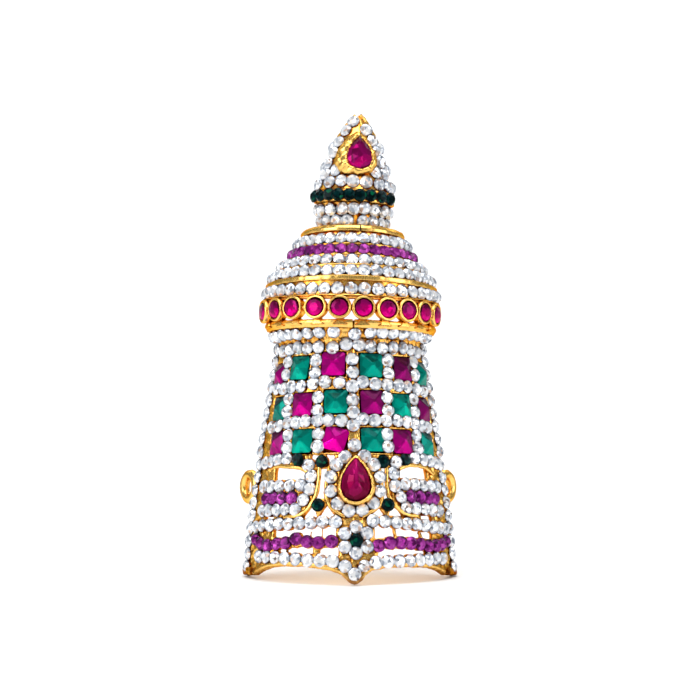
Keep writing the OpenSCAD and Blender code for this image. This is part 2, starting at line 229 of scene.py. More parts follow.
@dataclass
class Seats:
    """Places where stones sit: a point, the way out of the metal and the way up, in the frame."""

    place: Array
    out: Array
    up: Array

    @staticmethod
    def joined(groups: "list[Seats]") -> "Seats":
        """All the seats of some groups, one group after another."""
        return Seats(*(np.vstack([getattr(g, key) for g in groups]) for key in ("place", "out", "up")))

    def matrix(self) -> Array:
        """Works out how a shape made in millimetres goes on the first seat.

        Returns:
            The 4 by 4 matrix that puts the shape there, in the frame.
        """
        m, up, out = np.eye(4), self.up[0], self.out[0]
        m[:3, :3] = np.stack([np.cross(up, out), up, out], 1) * MM
        m[:3, 3] = self.place[0]
        return m

    def moved_out(self, distance: float) -> "Seats":
        """The same seats, moved out of the metal by a distance in millimetres."""
        return Seats(self.place + self.out * distance * MM, self.out, self.up)

    def facing_front(self, share: float) -> "Seats":
        """Turns the seats part of the way towards the front, as on a flattened shell.

        Args:
            share: How strongly the front draws them, against their own way out.

        Returns:
            The turned seats, in the same places.
        """
        out = self.out + share * np.array([0.0, -1.0, 0.0])
        out /= np.linalg.norm(out, axis=1)[:, None]
        up = self.up - out * (out * self.up).sum(1)[:, None]
        return Seats(self.place, out, up / np.linalg.norm(up, axis=1)[:, None])


def seats_at(axes: CrownAxes, spots: Array, radius: Array | float, lean: Array | float,
             part: Part) -> Seats:
    """Seats on a surface of revolution.

    Args:
        axes: The crown's axes.
        spots: Angle and height of each seat.
        radius: Radius of the surface at each seat.
        lean: How far the surface leans back at each seat, in degrees.
        part: The stage whose axes the spots are given in.

    Returns:
        The seats, in the frame.
    """
    tilt = np.radians(np.broadcast_to(lean, len(spots)))[:, None]
    away = around(spots[:, 0], 1.0, 0.0)
    rise = np.array([0.0, 0.0, 1.0])
    place = away * np.broadcast_to(radius, len(spots))[:, None] + rise * spots[:, 1:2]
    out = away * np.cos(tilt) + rise * np.sin(tilt)
    up = rise * np.cos(tilt) - away * np.sin(tilt)
    turn = axes.matrix(part)[:3, :3] / MM
    return Seats(axes.to_frame(place, part), out @ turn.T, up @ turn.T)


def seats_on(axes: CrownAxes, outline: Outline, spots: Array, part: Part) -> Seats:
    """Seats on the outer metal of a turned shape, from the angle and height of each."""
    return seats_at(axes, spots, outline.radius(spots[:, 1]), outline.lean(spots[:, 1]), part)


def loose_stones(mesh: Mesh) -> list[Array]:
    """Tells the stones of a frame node apart.

    Args:
        mesh: The node's mesh, whose triangles are all loose.

    Returns:
        The points of each stone, from left to right.
    """
    points = np.empty(len(mesh.vertices) * 3)
    mesh.vertices.foreach_get("co", points)
    points, merged = np.unique(np.round(points.reshape(-1, 3), 7), axis=0, return_inverse=True)
    merged = merged.ravel()
    stone = np.arange(len(points))
    edges = np.array([[merged[i] for i in e.vertices] for e in mesh.edges])
    while True:
        lowest = stone.copy()
        np.minimum.at(lowest, edges[:, 0], stone[edges[:, 1]])
        np.minimum.at(lowest, edges[:, 1], stone[edges[:, 0]])
        lowest = lowest[lowest]
        if (lowest == stone).all():
            break
        stone = lowest
    return [points[stone == label] for label in np.unique(stone)]


def seats_of_node(axes: CrownAxes, node: Object) -> Seats:
    """Seats under the stones of a frame node.

    Args:
        axes: The crown's axes.
        node: The node's object.

    Returns:
        One seat at the back of each stone, from left to right.
    """
    axis = axes.matrix(Part.BODY)[:3, 2] / MM
    place, out, up = [], [], []
    for own in loose_stones(node.data):
        middle = own.mean(0)
        _, _, ways = np.linalg.svd(own - middle)
        normal = ways[2]
        on_axis = axes.to_frame(axes.from_frame(middle[None]) * [0, 0, 1])[0]
        if normal @ (middle - on_axis) < 0:
            normal = -normal
        rise = axis - normal * (axis @ normal)
        place.append(middle + normal * ((own - middle) @ normal).min())
        out.append(normal)
        up.append(rise / np.linalg.norm(rise))
    return Seats(np.array(place), np.array(out), np.array(up))


# Nodes and meshes


def linear(colour: str) -> tuple[float, float, float, float]:
    """Turns an sRGB hex colour into the linear colour that Blender's sockets take."""
    parts = [int(colour[i:i + 2], 16) / 255 for i in (1, 3, 5)]
    return (*(p / 12.92 if p <= 0.04045 else ((p + 0.055) / 1.055) ** 2.4 for p in parts), 1.0)


def add_node(tree: NodeTree, kind: str, **values: object) -> Node:
    """Adds a node to a tree, with its settings and what goes into it.

    Args:
        tree: A geometry or shader tree.
        kind: The node's type, which may leave out the word ShaderNode at its start.
        values: Its own settings, whose names are in lower case, and then what each input takes, by
            identifier or name with _ for a space: a value, a node for its first output in use, or a
            pair of a node and an output's identifier or name.

    Returns:
        The new node.
    """
    node = tree.nodes.new(kind if "Node" in kind else "ShaderNode" + kind)
    for key, value in values.items():
        if key.islower():
            setattr(node, key, value)
            continue
        socket = find_socket(node.inputs, key)
        if isinstance(value, Node):
            tree.links.new(next(o for o in value.outputs if o.enabled), socket)
        elif isinstance(value, tuple) and isinstance(value[0], Node):
            tree.links.new(find_socket(value[0].outputs, value[1]), socket)
        else:
            socket.default_value = value
    return node


def find_socket(sockets: NodeInputs, key: str) -> NodeSocket:
    """Finds a socket in use by its identifier, or else by its name.

    Args:
        sockets: The inputs or outputs of a node.
        key: The identifier or name, with _ read as a space where needed.

    Returns:
        The socket.
    """
    for word in (key, key.replace("_", " ")):
        for label in ("identifier", "name"):
            for socket in sockets:
                if getattr(socket, label) == word and socket.enabled:
                    return socket
    raise KeyError(key)


def new_tree(name: str, sockets: dict[str, str]) -> tuple[NodeTree, Adder, Node]:
    """Starts a geometry node tree with named inputs.

    Args:
        name: The tree's name.
        sockets: Type of each input after the geometry, by name.

    Returns:
        The tree, what adds nodes to it, and its input node.
    """
    tree = bpy.data.node_groups.new(name, "GeometryNodeTree")
    tree.interface.new_socket("Geometry", in_out="INPUT", socket_type="NodeSocketGeometry")
    for socket, kind in sockets.items():
        tree.interface.new_socket(socket, in_out="INPUT", socket_type="NodeSocket" + kind)
    tree.interface.new_socket("Geometry", in_out="OUTPUT", socket_type="NodeSocketGeometry")
    return tree, partial(add_node, tree), tree.nodes.new("NodeGroupInput")


def close_tree(add: Adder, last: Node, given: Node) -> None:
    """Ends a geometry tree: instances are made real and the finish is set."""
    real = add("GeometryNodeRealizeInstances", Geometry=last)
    add("NodeGroupOutput", Geometry=add("GeometryNodeSetMaterial", Geometry=real, Material=(given, "Finish")))


def grow(name: str, seed_mesh: Mesh, tree: NodeTree, **inputs: object) -> Object:
    """Runs a geometry tree over a mesh and keeps the result as a plain mesh.

    Args:
        name: Name of the new piece.
        seed_mesh: The mesh that the tree starts from.
        tree: The geometry tree.
        inputs: Values of the tree's inputs by name, with _ for a space.

    Returns:
        The piece, with no modifier left on it.
    """
    piece = bpy.data.objects.new(name, seed_mesh)
    bpy.context.scene.collection.objects.link(piece)
    modifier = piece.modifiers.new("shape", "NODES")
    modifier.node_group = tree
    names = {i.name: i.identifier for i in tree.interface.items_tree if i.in_out == "INPUT"}
    for key, value in inputs.items():
        modifier[names[key.replace("_", " ")]] = value
    evaluated = piece.evaluated_get(bpy.context.evaluated_depsgraph_get())
    result = bpy.data.meshes.new_from_object(evaluated)
    piece.modifiers.clear()
    piece.data = result
    result.name = name
    bpy.data.meshes.remove(seed_mesh)
    return piece


def mesh_from(name: str, points: Array, faces: list | Array, smooth: bool = True,
              edges: tuple | list = ()) -> Mesh:
    """Makes a mesh from points and faces.

    Args:
        name: Its name.
        points: Its points.
        faces: For each face, the numbers of its points.
        smooth: Whether it is shaded smooth, or flat as cut stones are.
        edges: For each loose edge, the numbers of its points.

    Returns:
        The mesh.
    """
    mesh = bpy.data.meshes.new(name)
    mesh.from_pydata(np.asarray(points, float).tolist(), edges, [list(map(int, f)) for f in faces])
    if smooth:
        mesh.shade_smooth()
    else:
        mesh.shade_flat()
    mesh.update()
    return mesh


def line_mesh(name: str, points: Array, closed: bool) -> Mesh:
    """A mesh of edges alone, through points in order and back to the first if it is closed."""
    steps = range(len(points) if closed else len(points) - 1)
    return mesh_from(name, points, [], edges=[(i, (i + 1) % len(points)) for i in steps])


def mark(mesh: Mesh, name: str, values: Array | list, kind: str = "FLOAT",
         domain: str = "POINT") -> None:
    """Writes an attribute on a mesh, a number or a vector for each point or face."""
    marks = mesh.attributes.new(name, kind, domain)
    marks.data.foreach_set("value" if kind == "FLOAT" else "vector", np.ravel(values))


def place_piece(name: str, mesh: Mesh, finish: Material) -> Object:
    """Links a mesh as a piece at the origin, in its finish.

    Args:
        name: Name of the piece.
        mesh: Its mesh, already in its place.
        finish: Its material.

    Returns:
        The piece.
    """
    piece = bpy.data.objects.new(name, mesh)
    mesh.materials.clear()
    mesh.materials.append(finish)
    bpy.context.scene.collection.objects.link(piece)
    return piece


def bar_outline(width: float, height: float) -> Array:
    """Corners of a bar's cross-section."""
    return np.array([(-width, -height), (width, -height), (width, height), (-width, height)]) / 2


def smooth_path(points: Array, steps: int) -> Array:
    """Draws a smooth line through a few points.

    Args:
        points: The points.
        steps: How many steps there are from each point to the next.

    Returns:
        The points of the line.
    """
    ends = np.vstack([2 * points[0] - points[1], points, 2 * points[-1] - points[-2]])
    share = np.arange(steps)[:, None] / steps
    line = []
    for a, b, c, d in zip(ends, ends[1:], ends[2:], ends[3:]):
        line.append(b + (c - a) / 2 * share + (a - 2.5 * b + 2 * c - d / 2) * share ** 2
                    + (-a + 3 * b - 3 * c + d) / 2 * share ** 3)
    return np.vstack(line + [points[-1:]])


@dataclass(frozen=True)
class Ripple:
    """A smooth uneven height, like the skin of a casting: crossed waves of a width in millimetres."""

    wave: float
    height: float
    seed: int
    waves: int = 9

    def over(self, points: Array) -> Array:
        """Finds the unevenness at some places.

        Args:
            points: The places, in millimetres.

        Returns:
            A height for each place, mostly within the ripple's own height of zero.
        """
        draw = np.random.default_rng(self.seed)
        ways = draw.normal(size=(self.waves, 3))
        widths = 2 * np.pi / self.wave * draw.uniform(0.6, 1.3, self.waves)
        ways *= (widths / np.linalg.norm(ways, axis=1))[:, None]
        phases = draw.uniform(0, 2 * np.pi, self.waves)
        return np.sin(points @ ways.T + phases).sum(-1) / math.sqrt(self.waves) * self.height


# Finishes


def blank_material(name: str) -> tuple[Material, Adder]:
    """Starts a material with no nodes.

    Args:
        name: The material's name.

    Returns:
        The material and what adds nodes to it.
    """
    material = bpy.data.materials.new(name)
    material.use_nodes = True
    material.node_tree.nodes.clear()
    return material, partial(add_node, material.node_tree)


def set_tones(ramp: ColorRamp, tones: Tones) -> None:
    """Gives a colour ramp its tones.

    Args:
        ramp: The ramp, which still has its first two stops alone.
        tones: Place and colour of each stop.
    """
    for position, _ in tones[2:]:
        ramp.elements.new(position)
    for stop, (position, colour) in zip(ramp.elements, tones):
        stop.position = position
        stop.color = linear(colour)


@dataclass(frozen=True)
class CastGold:
    """Cast brass, plated with bright yellow gold and left as it came from the casting.

    The eye sees soft ripples and a fine grain, painted shade that turns amber in the crevices and hollows
    and dark brown in the deepest ones, and bare brown brass on the front point and the feet. The grain
    is drawn coarser than the real one, so that it shows.
    """

    name: str = "gold_plated_cast_brass"
    # Tones of painted shade from the open skin to the deepest hollow. Columns: depth, colour
    tones: Tones = ((0.34, "#FFCD70"), (0.64, "#E8901A"), (0.88, "#5C2204"))
    grazing: str = "#CC9458"
    worn: str = "#9A6A3C"
    # How far off crevices are looked for, and how a hollow marked on the mesh adds to their painted shade
    reach_mm: float = 0.9
    open_depth: float = 0.97
    marked_depth: float = 0.4
    skin_mm: float = 1.1
    skin_share: float = 0.5
    grain_mm: float = 0.22
    grain_depth_mm: float = 0.03
    grain_strength: float = 0.5
    grain_range: Pair = (0.3, 0.7)
    roughness: Pair = (0.17, 0.36)
    # The heights at which wear starts and is full, and the rub that shows as wear
    worn_mm: Pair = (4.2, 0.4)
    rub_range: Pair = (0.1, 0.45)

    def make(self) -> Material:
        """Builds the material: metal, its tone by painted shade in the hollows and by wear, and a fine cast
        grain.

        Returns:
            The material.
        """
        material, add = blank_material(self.name)
        place = add("TexCoord")
        skin = add("TexNoise", Vector=(place, "Object"), Scale=1 / (self.skin_mm * MM), Detail=3.0)
        grain = add("TexNoise", Vector=(place, "Object"), Scale=1 / (self.grain_mm * MM), Detail=2.0)
        # Painted shade: crevices between the stones, found by ambient occlusion, and hollows marked on the
        # mesh darken the gold towards amber and dark brown
        nook = add("AmbientOcclusion", samples=6, Distance=self.reach_mm * MM)
        hollow = add("Attribute", attribute_name="hollow")
        sunk = add("Math", operation="MULTIPLY_ADD", Value=(hollow, "Fac"), Value_001=self.marked_depth,
                   Value_002=self.open_depth)
        depth = add("Math", operation="SUBTRACT", use_clamp=True, Value=sunk, Value_001=(nook, "AO"))
        uneven = add("Math", operation="MULTIPLY_ADD", use_clamp=True, Value=skin,
                     Value_001=self.skin_share, Value_002=depth)
        tone = add("ValToRGB", Fac=uneven)
        set_tones(tone.color_ramp, self.tones)
        # The plating is rubbed off where the crown stands
        split = add("SeparateXYZ", Vector=(place, "Object"))
        low = add("MapRange", Value=(split, "Z"), From_Min=self.worn_mm[0] * MM,
                  From_Max=self.worn_mm[1] * MM)
        rub = add("Math", operation="MULTIPLY", use_clamp=True, Value=low, Value_001=skin)
        wear = add("MapRange", Value=rub, From_Min=self.rub_range[0], From_Max=self.rub_range[1])
        colour = add("Mix", data_type="RGBA", Factor_Float=wear, A_Color=tone, B_Color=linear(self.worn))
        gloss = add("MapRange", Value=grain, From_Min=self.grain_range[0], From_Max=self.grain_range[1],
                    To_Min=self.roughness[0], To_Max=self.roughness[1])
        bump = add("Bump", Height=grain, Strength=self.grain_strength, Distance=self.grain_depth_mm * MM)
        metal = add("BsdfPrincipled", Base_Color=colour, Metallic=1.0, Roughness=gloss,
                    Specular_Tint=linear(self.grazing), Normal=bump)
        add("OutputMaterial", Surface=metal)
        return material


@dataclass(frozen=True)
class FoilGlass:
    """Cut glass with a mirror foil on its back: flat shards, each facing its own way, in a glossy skin.

    The tones run from the darkest shard to the brightest, and the shards are painted reflections of the foil.
    What moves a shard along them: shard, how much the shards differ; fall, how much facets that face down
    brighten, a painted light; slope, how much the upper end darkens, a painted shade; rim, how much the
    girdle does, a painted shade; grazing, how much a side seen edge-on does, a painted shade; keel, how
    much the line down the middle brightens, a painted highlight. Scatter is how far shards turn from their
    facet.
    """

    name: str
    tones: Tones
    shard: float
    fall: float
    middle: float = 0.5
    shards_across: float = 3.4
    # How far apart the patterns of two stones may lie, in half widths of a stone
    apart: float = 61.0
    slope: float = 0.0
    rim: float = 0.0
    rim_from: float = 0.8
    rim_width: float = 0.12
    keel: float = 0.0
    # Where the keel's painted highlight fades out to its sides, and where it fades in up the stone
    keel_sides: Pair = (0.02, 0.13)
    keel_rise: Pair = (-0.4, 0.0)
    grazing: float = 0.0
    grazing_range: Pair = (0.4, 0.9)
    # A painted reflection of the gold round the stone, which some shards show: its colour, from which draw
    # on, and how strongly
    fleck: str | None = None
    fleck_from: float = 0.9
    fleck_width: float = 0.04
    fleck_share: float = 0.6
    scatter: float = 0.0
    metallic: float = 0.35
    roughness: float = 0.12
    ior: float = 1.56
    shine: float = 0.3
    coat: float = 0.2
    coat_roughness: float = 0.03

    def make(self) -> Material:
        """Builds the material from the marks that each stone's mesh carries.

        Returns:
            The material.
        """
        material, add = blank_material(self.name)
        cut, own, fall, light = (add("Attribute", attribute_name=name)
                                 for name in ("cut", "own", "fall", "light"))
        # Painted reflections: the foil seen through the stone breaks into lighter and darker shards, and each
        # stone has its own
        shift = add("Math", operation="MULTIPLY", Value=(own, "Fac"), Value_001=self.apart)
        spot = add("VectorMath", operation="ADD", Vector=(cut, "Vector"), Vector_001=shift)
        cells = add("TexVoronoi", distance="EUCLIDEAN", Vector=spot, Scale=self.shards_across / 2)
        broken = add("SeparateColor", Color=(cells, "Color"))
        sparkle = add("Math", operation="MULTIPLY_ADD", Value=(broken, "Red"), Value_001=2 * self.shard,
                      Value_002=self.middle - self.shard)
        # Painted light: facets that face down are drawn brighter, as if they caught the floor's light and the
        # foil sent it back
        level = add("Math", operation="MULTIPLY_ADD", use_clamp=True, Value=(fall, "Fac"),
                    Value_001=self.fall, Value_002=sparkle)
        axes = add("SeparateXYZ", Vector=(cut, "Vector"))
        # Painted shade: the upper end of the stone darkens
        sunk = add("Math", operation="MULTIPLY_ADD", Value=(axes, "Y"), Value_001=-self.slope,
                   Value_002=level)
        # Painted shade: the stone darkens towards its girdle
        flat = add("VectorMath", operation="MULTIPLY", Vector=(cut, "Vector"), Vector_001=(1.0, 1.0, 0.0))
        reach = add("VectorMath", operation="LENGTH", Vector=flat)
        edge = add("MapRange", Value=reach, From_Min=self.rim_from,
                   From_Max=self.rim_from + self.rim_width, To_Min=0.0, To_Max=self.rim)
        # A stone may be lighter or darker than its fellows
        own_light = add("Math", operation="ADD", Value=sunk, Value_001=(light, "Fac"))
        # A painted highlight runs down a pear stone's keel
        aside = add("Math", operation="ABSOLUTE", Value=(axes, "X"))
        line = add("MapRange", interpolation_type="SMOOTHSTEP", Value=aside, From_Min=self.keel_sides[0],
                   From_Max=self.keel_sides[1], To_Min=self.keel, To_Max=0.0)
        upper = add("MapRange", Value=(axes, "Y"), From_Min=self.keel_rise[0], From_Max=self.keel_rise[1])
        lit = add("Math", operation="MULTIPLY_ADD", Value=line, Value_001=upper, Value_002=own_light)
        # Painted shade: all stones darken where they are seen edge-on
        away = add("LayerWeight", Blend=0.5)
        dim = add("MapRange", Value=(away, "Facing"), From_Min=self.grazing_range[0],
                  From_Max=self.grazing_range[1], To_Min=0.0, To_Max=self.grazing)
        shade = add("Math", operation="ADD", Value=edge, Value_001=dim)
        tone = add("Math", operation="SUBTRACT", use_clamp=True, Value=lit, Value_001=shade)
        ramp = add("ValToRGB", Fac=tone)
        set_tones(ramp.color_ramp, self.tones)
        colour = ramp
        # Painted reflection of the gold round the stone on some shards
        if self.fleck:
            share = add("MapRange", Value=(broken, "Green"), From_Min=self.fleck_from,
                        From_Max=self.fleck_from + self.fleck_width, To_Max=self.fleck_share)
            colour = add("Mix", data_type="RGBA", blend_type="MULTIPLY", Factor_Float=share, A_Color=ramp,
                         B_Color=linear(self.fleck))
        # Each shard faces its own way, so its gleam comes and goes apart from its neighbours'
        skin = add("NewGeometry")
        draw = add("VectorMath", operation="MULTIPLY_ADD", Vector=(cells, "Color"),
                   Vector_001=(self.scatter,) * 3, Vector_002=(-self.scatter / 2,) * 3)
        facing = add("VectorMath", operation="ADD", Vector=draw, Vector_001=(skin, "Normal"))
        turned = add("VectorMath", operation="NORMALIZE", Vector=facing)
        glass = add("BsdfPrincipled", Base_Color=colour, Metallic=self.metallic, Roughness=self.roughness,
                    IOR=self.ior, Specular_IOR_Level=self.shine, Specular_Tint=colour, Normal=turned,
                    Coat_Weight=self.coat, Coat_Roughness=self.coat_roughness)
        add("OutputMaterial", Surface=glass)
        return material


GLASSES = {
    # Colourless glass on silver foil: painted white glints among painted grey shards, with here and there a
    # painted reflection of the gold round it
    Slot.CLEAR: FoilGlass("clear_glass_on_foil", (
        (0.0, "#525A66"), (0.2, "#929AA6"), (0.42, "#C4CAD4"), (0.64, "#E7EBF1"), (1.0, "#FFFFFF")),
        shard=0.46, fall=0.08, rim=0.3, rim_from=0.84, middle=0.7, scatter=0.5, metallic=0.4,
        grazing=0.52, shine=0.2, shards_across=4.2, fleck="#C07A28"),
    # Deep ruby glass: painted shade makes it nearly black at its girdle, and painted light makes its lower
    # facets glow pink
    Slot.RUBY: FoilGlass("ruby_glass_on_foil", (
        (0.0, "#23020C"), (0.22, "#52042C"), (0.45, "#860A58"), (0.68, "#B60064"), (1.0, "#EA008C")),
        shard=0.18, fall=0.24, rim=0.4, rim_from=0.84, slope=0.28, middle=0.58, scatter=0.2, shine=0.1,
        coat=0.08),
    # Hot pink glass with large facets, each of one even tone: painted shade above and painted light below
    Slot.PINK: FoilGlass("pink_glass_on_foil", (
        (0.0, "#40062F"), (0.3, "#6A104E"), (0.55, "#98086E"), (0.75, "#CC008A"), (1.0, "#F000A6")),
        shard=0.12, fall=0.45, scatter=0.12, grazing=0.2, shine=0.06, coat=0.08),
    # Blue-green glass with the same large facets, painted dark above and bright below
    Slot.GREEN: FoilGlass("green_glass_on_foil", (
        (0.0, "#00282A"), (0.3, "#005850"), (0.55, "#008474"), (0.75, "#00A48E"), (1.0, "#00CAA8")),
        shard=0.14, fall=0.45, scatter=0.12, grazing=0.2, shine=0.06, coat=0.08),
    # Violet glass: small stones with painted sparkle between plum and lilac
    Slot.PURPLE: FoilGlass("purple_glass_on_foil", (
        (0.0, "#2C0628"), (0.3, "#64185E"), (0.6, "#942E8A"), (1.0, "#C858BC")),
        shard=0.34, fall=0.1, slope=0.2, middle=0.46, scatter=0.3, metallic=0.3, grazing=0.3, shine=0.15,
        coat=0.12, shards_across=4.2),
    # Bottle-green glass: almost black, with a rare painted green glint
    Slot.DARK_GREEN: FoilGlass("dark_green_glass_on_foil", (
        (0.0, "#010A0B"), (0.5, "#021A1C"), (0.86, "#052E2F"), (1.0, "#077048")),
        shard=0.48, fall=0.1, middle=0.48, scatter=0.3, metallic=0.2, coat=0.08, shine=0.1),
}
# The base panel's pear stone is redder than the other rubies, with a painted highlight down its keel
CRIMSON = FoilGlass("crimson_glass_on_foil", (
    (0.0, "#33020E"), (0.25, "#6E0430"), (0.5, "#980A54"), (0.74, "#B8166A"), (1.0, "#E0609E")),
    shard=0.16, fall=0.06, rim=0.3, rim_from=0.9, middle=0.52, scatter=0.2, shine=0.12, coat=0.1, keel=0.26)


@dataclass(frozen=True)
class WhitePaper:
    """Uncoated background paper: matt and white, with no gloss of its own."""

    name: str = "white_paper"
    colour: str = "#F9F9F9"
    roughness: float = 0.9

    def make(self) -> Material:
        """Builds the material.

        Returns:
            The material.
        """
        material, add = blank_material(self.name)
        paper = add("BsdfPrincipled", Base_Color=linear(self.colour), Roughness=self.roughness)
        add("OutputMaterial", Surface=paper)
        return material


# Stones


def linked_rings(rings: list[Array]) -> tuple[Array, list]:
    """Facets between rings of points, closed by the first ring below and the last above.

    Args:
        rings: Rings from the back to the table, each with as many points as the one before, in
            step with it, or with half as many.

    Returns:
        The points and the faces.
    """
    faces = [list(range(len(rings[0])))[::-1]]
    start = 0
    for low, high in zip(rings, rings[1:]):
        n, m = len(low), len(high)
        top = start + n
        for i in range(m):
            j = (i + 1) % m
            if n == m:
                faces.append([start + i, start + j, top + j, top + i])
            else:
                a, b, c = start + 2 * i, start + 2 * i + 1, start + (2 * i + 2) % n
                faces += [[a, b, top + i], [b, top + j, top + i], [b, c, top + j]]
        start = top
    faces.append(list(range(start, start + len(rings[-1]))))
    return np.vstack(rings), faces


def round_ring(count: int, radius: float, height: float = 0.0) -> Array:
    """Points of a level circle, anticlockwise, the first one at +X."""
    turn = np.arange(count) * 2 * np.pi / count
    return np.stack([radius * np.cos(turn), radius * np.sin(turn), np.full(count, height)], 1)


def square_ring(width: float, cut: float, height: float) -> Array:
    """Draws a square whose corners are cut off.

    Args:
        width: Its width.
        cut: How far each corner is cut back along the sides.
        height: Its height.

    Returns:
        Its eight points.
    """
    x, y = width / 2, width / 2 - cut
    corner = np.array([(x, -y), (x, y)])
    turns = [np.array([[c, s], [-s, c]]) for c, s in ((1, 0), (0, 1), (-1, 0), (0, -1))]
    flat = np.vstack([corner @ t for t in turns])
    return np.column_stack([flat, np.full(8, height)])


def pear_ring(width: float, length: float, height: float, count: int, rise: float = 0.0) -> Array:
    """Draws a pear outline with its point towards +Y.

    Args:
        width: Its width.
        length: Its length.
        height: Its height.
        count: How many points it has.
        rise: How far it is moved towards +Y.

    Returns:
        Its points, whose formula is a circle drawn in towards the point.
    """
    fullness, waist = 0.623, 0.8
    turn = 2 * np.pi * (np.arange(count) + 0.5) / count
    across = fullness * width * np.sin(turn) * np.abs(np.sin(turn / 2)) ** waist
    return np.stack([-across, length / 2 * np.cos(turn) + rise, np.full(count, height)], 1)


@dataclass(frozen=True)
class Cut:
    """A way of cutting a stone, with its rings from the back to the table in millimetres."""

    name: str
    rings: tuple[Array, ...]
    half: float

    def make(self) -> Object:
        """Builds one stone, marked with where its points lie and how its facets face.

        Returns:
            The stone, kept out of the scene.
        """
        points, faces = linked_rings(list(self.rings))
        mesh = mesh_from(self.name, points * MM, faces, smooth=False)
        mark(mesh, "cut", points / self.half, "FLOAT_VECTOR")
        mark(mesh, "fall", [-p.normal.y for p in mesh.polygons], domain="FACE")
        return bpy.data.objects.new(self.name, mesh)


# Rings of each cut from its back to its table. Columns: corners, share of the radius, of the height
CHATON = ((16, 0.72, 0.0), (16, 1.0, 0.42), (8, 0.58, 1.0))
RUBY = ((24, 0.8, 0.0), (24, 1.0, 0.66), (12, 0.86, 0.92), (12, 0.5, 1.0))
# Columns: share of the width, cut of the corners in millimetres, share of the height, shift across, up
SQUARE = ((0.9, 0.3, 0.0, 0.0, 0.0), (1.0, 0.42, 0.35, 0.0, 0.0), (0.13, 0.12, 1.0, 0.12, 0.1))
# Columns: corners, share of the width, share of the length, share of the height
PEAR = ((24, 0.9, 0.9, 0.0), (24, 1.0, 1.0, 0.35), (12, 0.62, 0.72, 0.8), (12, 0.2, 0.5, 1.0))


def round_cut(name: str, diameter: float, height: float, rings: Rows) -> Cut:
    """A round stone: a back, a girdle, a crown of facets and a table."""
    r = diameter / 2
    return Cut(name, tuple(round_ring(n, r * share, height * up) for n, share, up in rings), r)


def square_cut(width: float, height: float) -> Cut:
    """A square stone with cut corners, rising to a small table off its middle."""
    rings = tuple(square_ring(width * share, cut, height * up) + (x, y, 0.0)
                  for share, cut, up, x, y in SQUARE)
    return Cut("square", rings, width / 2)


def pear_cut(width: float, length: float, height: float) -> Cut:
    """A pear-shaped stone whose facets rise to a long narrow keel."""
    rings = tuple(pear_ring(width * across, length * along, height * up, n) for n, across, along, up in PEAR)
    return Cut("pear", rings, length / 2)


def stone_tree() -> NodeTree:
    """Builds the tree that sets a stone on each point, tilted and turned a little by chance.

    Returns:
        The tree.
    """
    tree, add, given = new_tree("stones_on_seats", {
        "Stone": "Object", "Finish": "Material", "Tilt": "Float", "Spin": "Float", "Spread": "Float",
        "Shift": "Float", "Seed": "Int"})
    ways = [add("GeometryNodeInputNamedAttribute", data_type="FLOAT_VECTOR", Name=n)
            for n in ("out", "up")]
    # Three draws for each stone: how it leans, how it spins and how it is shifted
    draws = []
    for salt in (0.0, 1.0, 5.0):
        draw_seed = add("Math", Value=(given, "Seed"), Value_001=salt)
        draws.append(add("FunctionNodeRandomValue", data_type="FLOAT_VECTOR", Min=(-1.0, -1.0, -1.0),
                         Max=(1.0, 1.0, 1.0), Seed=draw_seed))
    turned = []
    for way, amount, draw in zip(ways, ("Tilt", "Spin"), draws):
        scaled = add("VectorMath", operation="SCALE", Vector=draw, Scale=(given, amount))
        turned.append(add("VectorMath", operation="ADD", Vector=way, Vector_001=scaled))
    facing = add("FunctionNodeAxesToRotation", primary_axis="Z", secondary_axis="Y",
                 Primary_Axis=turned[0], Secondary_Axis=turned[1])
    chance = add("FunctionNodeRandomValue", data_type="FLOAT", Seed=(given, "Seed"))
    marked = add("GeometryNodeStoreNamedAttribute", data_type="FLOAT", domain="POINT",
                 Geometry=(given, "Geometry"), Name="own", Value=chance)
    share = add("Math", operation="MULTIPLY_ADD", Value=chance, Value_001=(given, "Spread"),
                Value_002=1.0)
    level = add("VectorMath", operation="CROSS_PRODUCT", Vector=draws[2], Vector_001=ways[0])
    offset = add("VectorMath", operation="SCALE", Vector=level, Scale=(given, "Shift"))
    moved = add("GeometryNodeSetPosition", Geometry=marked, Offset=offset)
    stone = add("GeometryNodeObjectInfo", Object=(given, "Stone"), As_Instance=True)
    placed = add("GeometryNodeInstanceOnPoints", Points=moved, Instance=(stone, "Geometry"),
                 Rotation=facing, Scale=share)
    close_tree(add, placed, given)
    return tree


@dataclass(frozen=True)
class Chance:
    """How far stones stray from their seats, and the seed that picks the draws.

    Tilt and spin are shares of 45 degrees, spread is a share of the stone's size and shift is in
    millimetres.
    """

    seed: int
    tilt: float = 0.0
    spin: float = 0.0
    spread: float = 0.0
    shift: float = 0.0


@dataclass(frozen=True)
class Skin:
    """How a swept bar is finished: its corners' radius, and the height and width of its bumps.

    An upright bar keeps its outline upright, as it does on level paths.
    """

    fillet: float = 0.05
    bump: float = 0.0
    bump_size: float = 1.0
    upright: bool = True


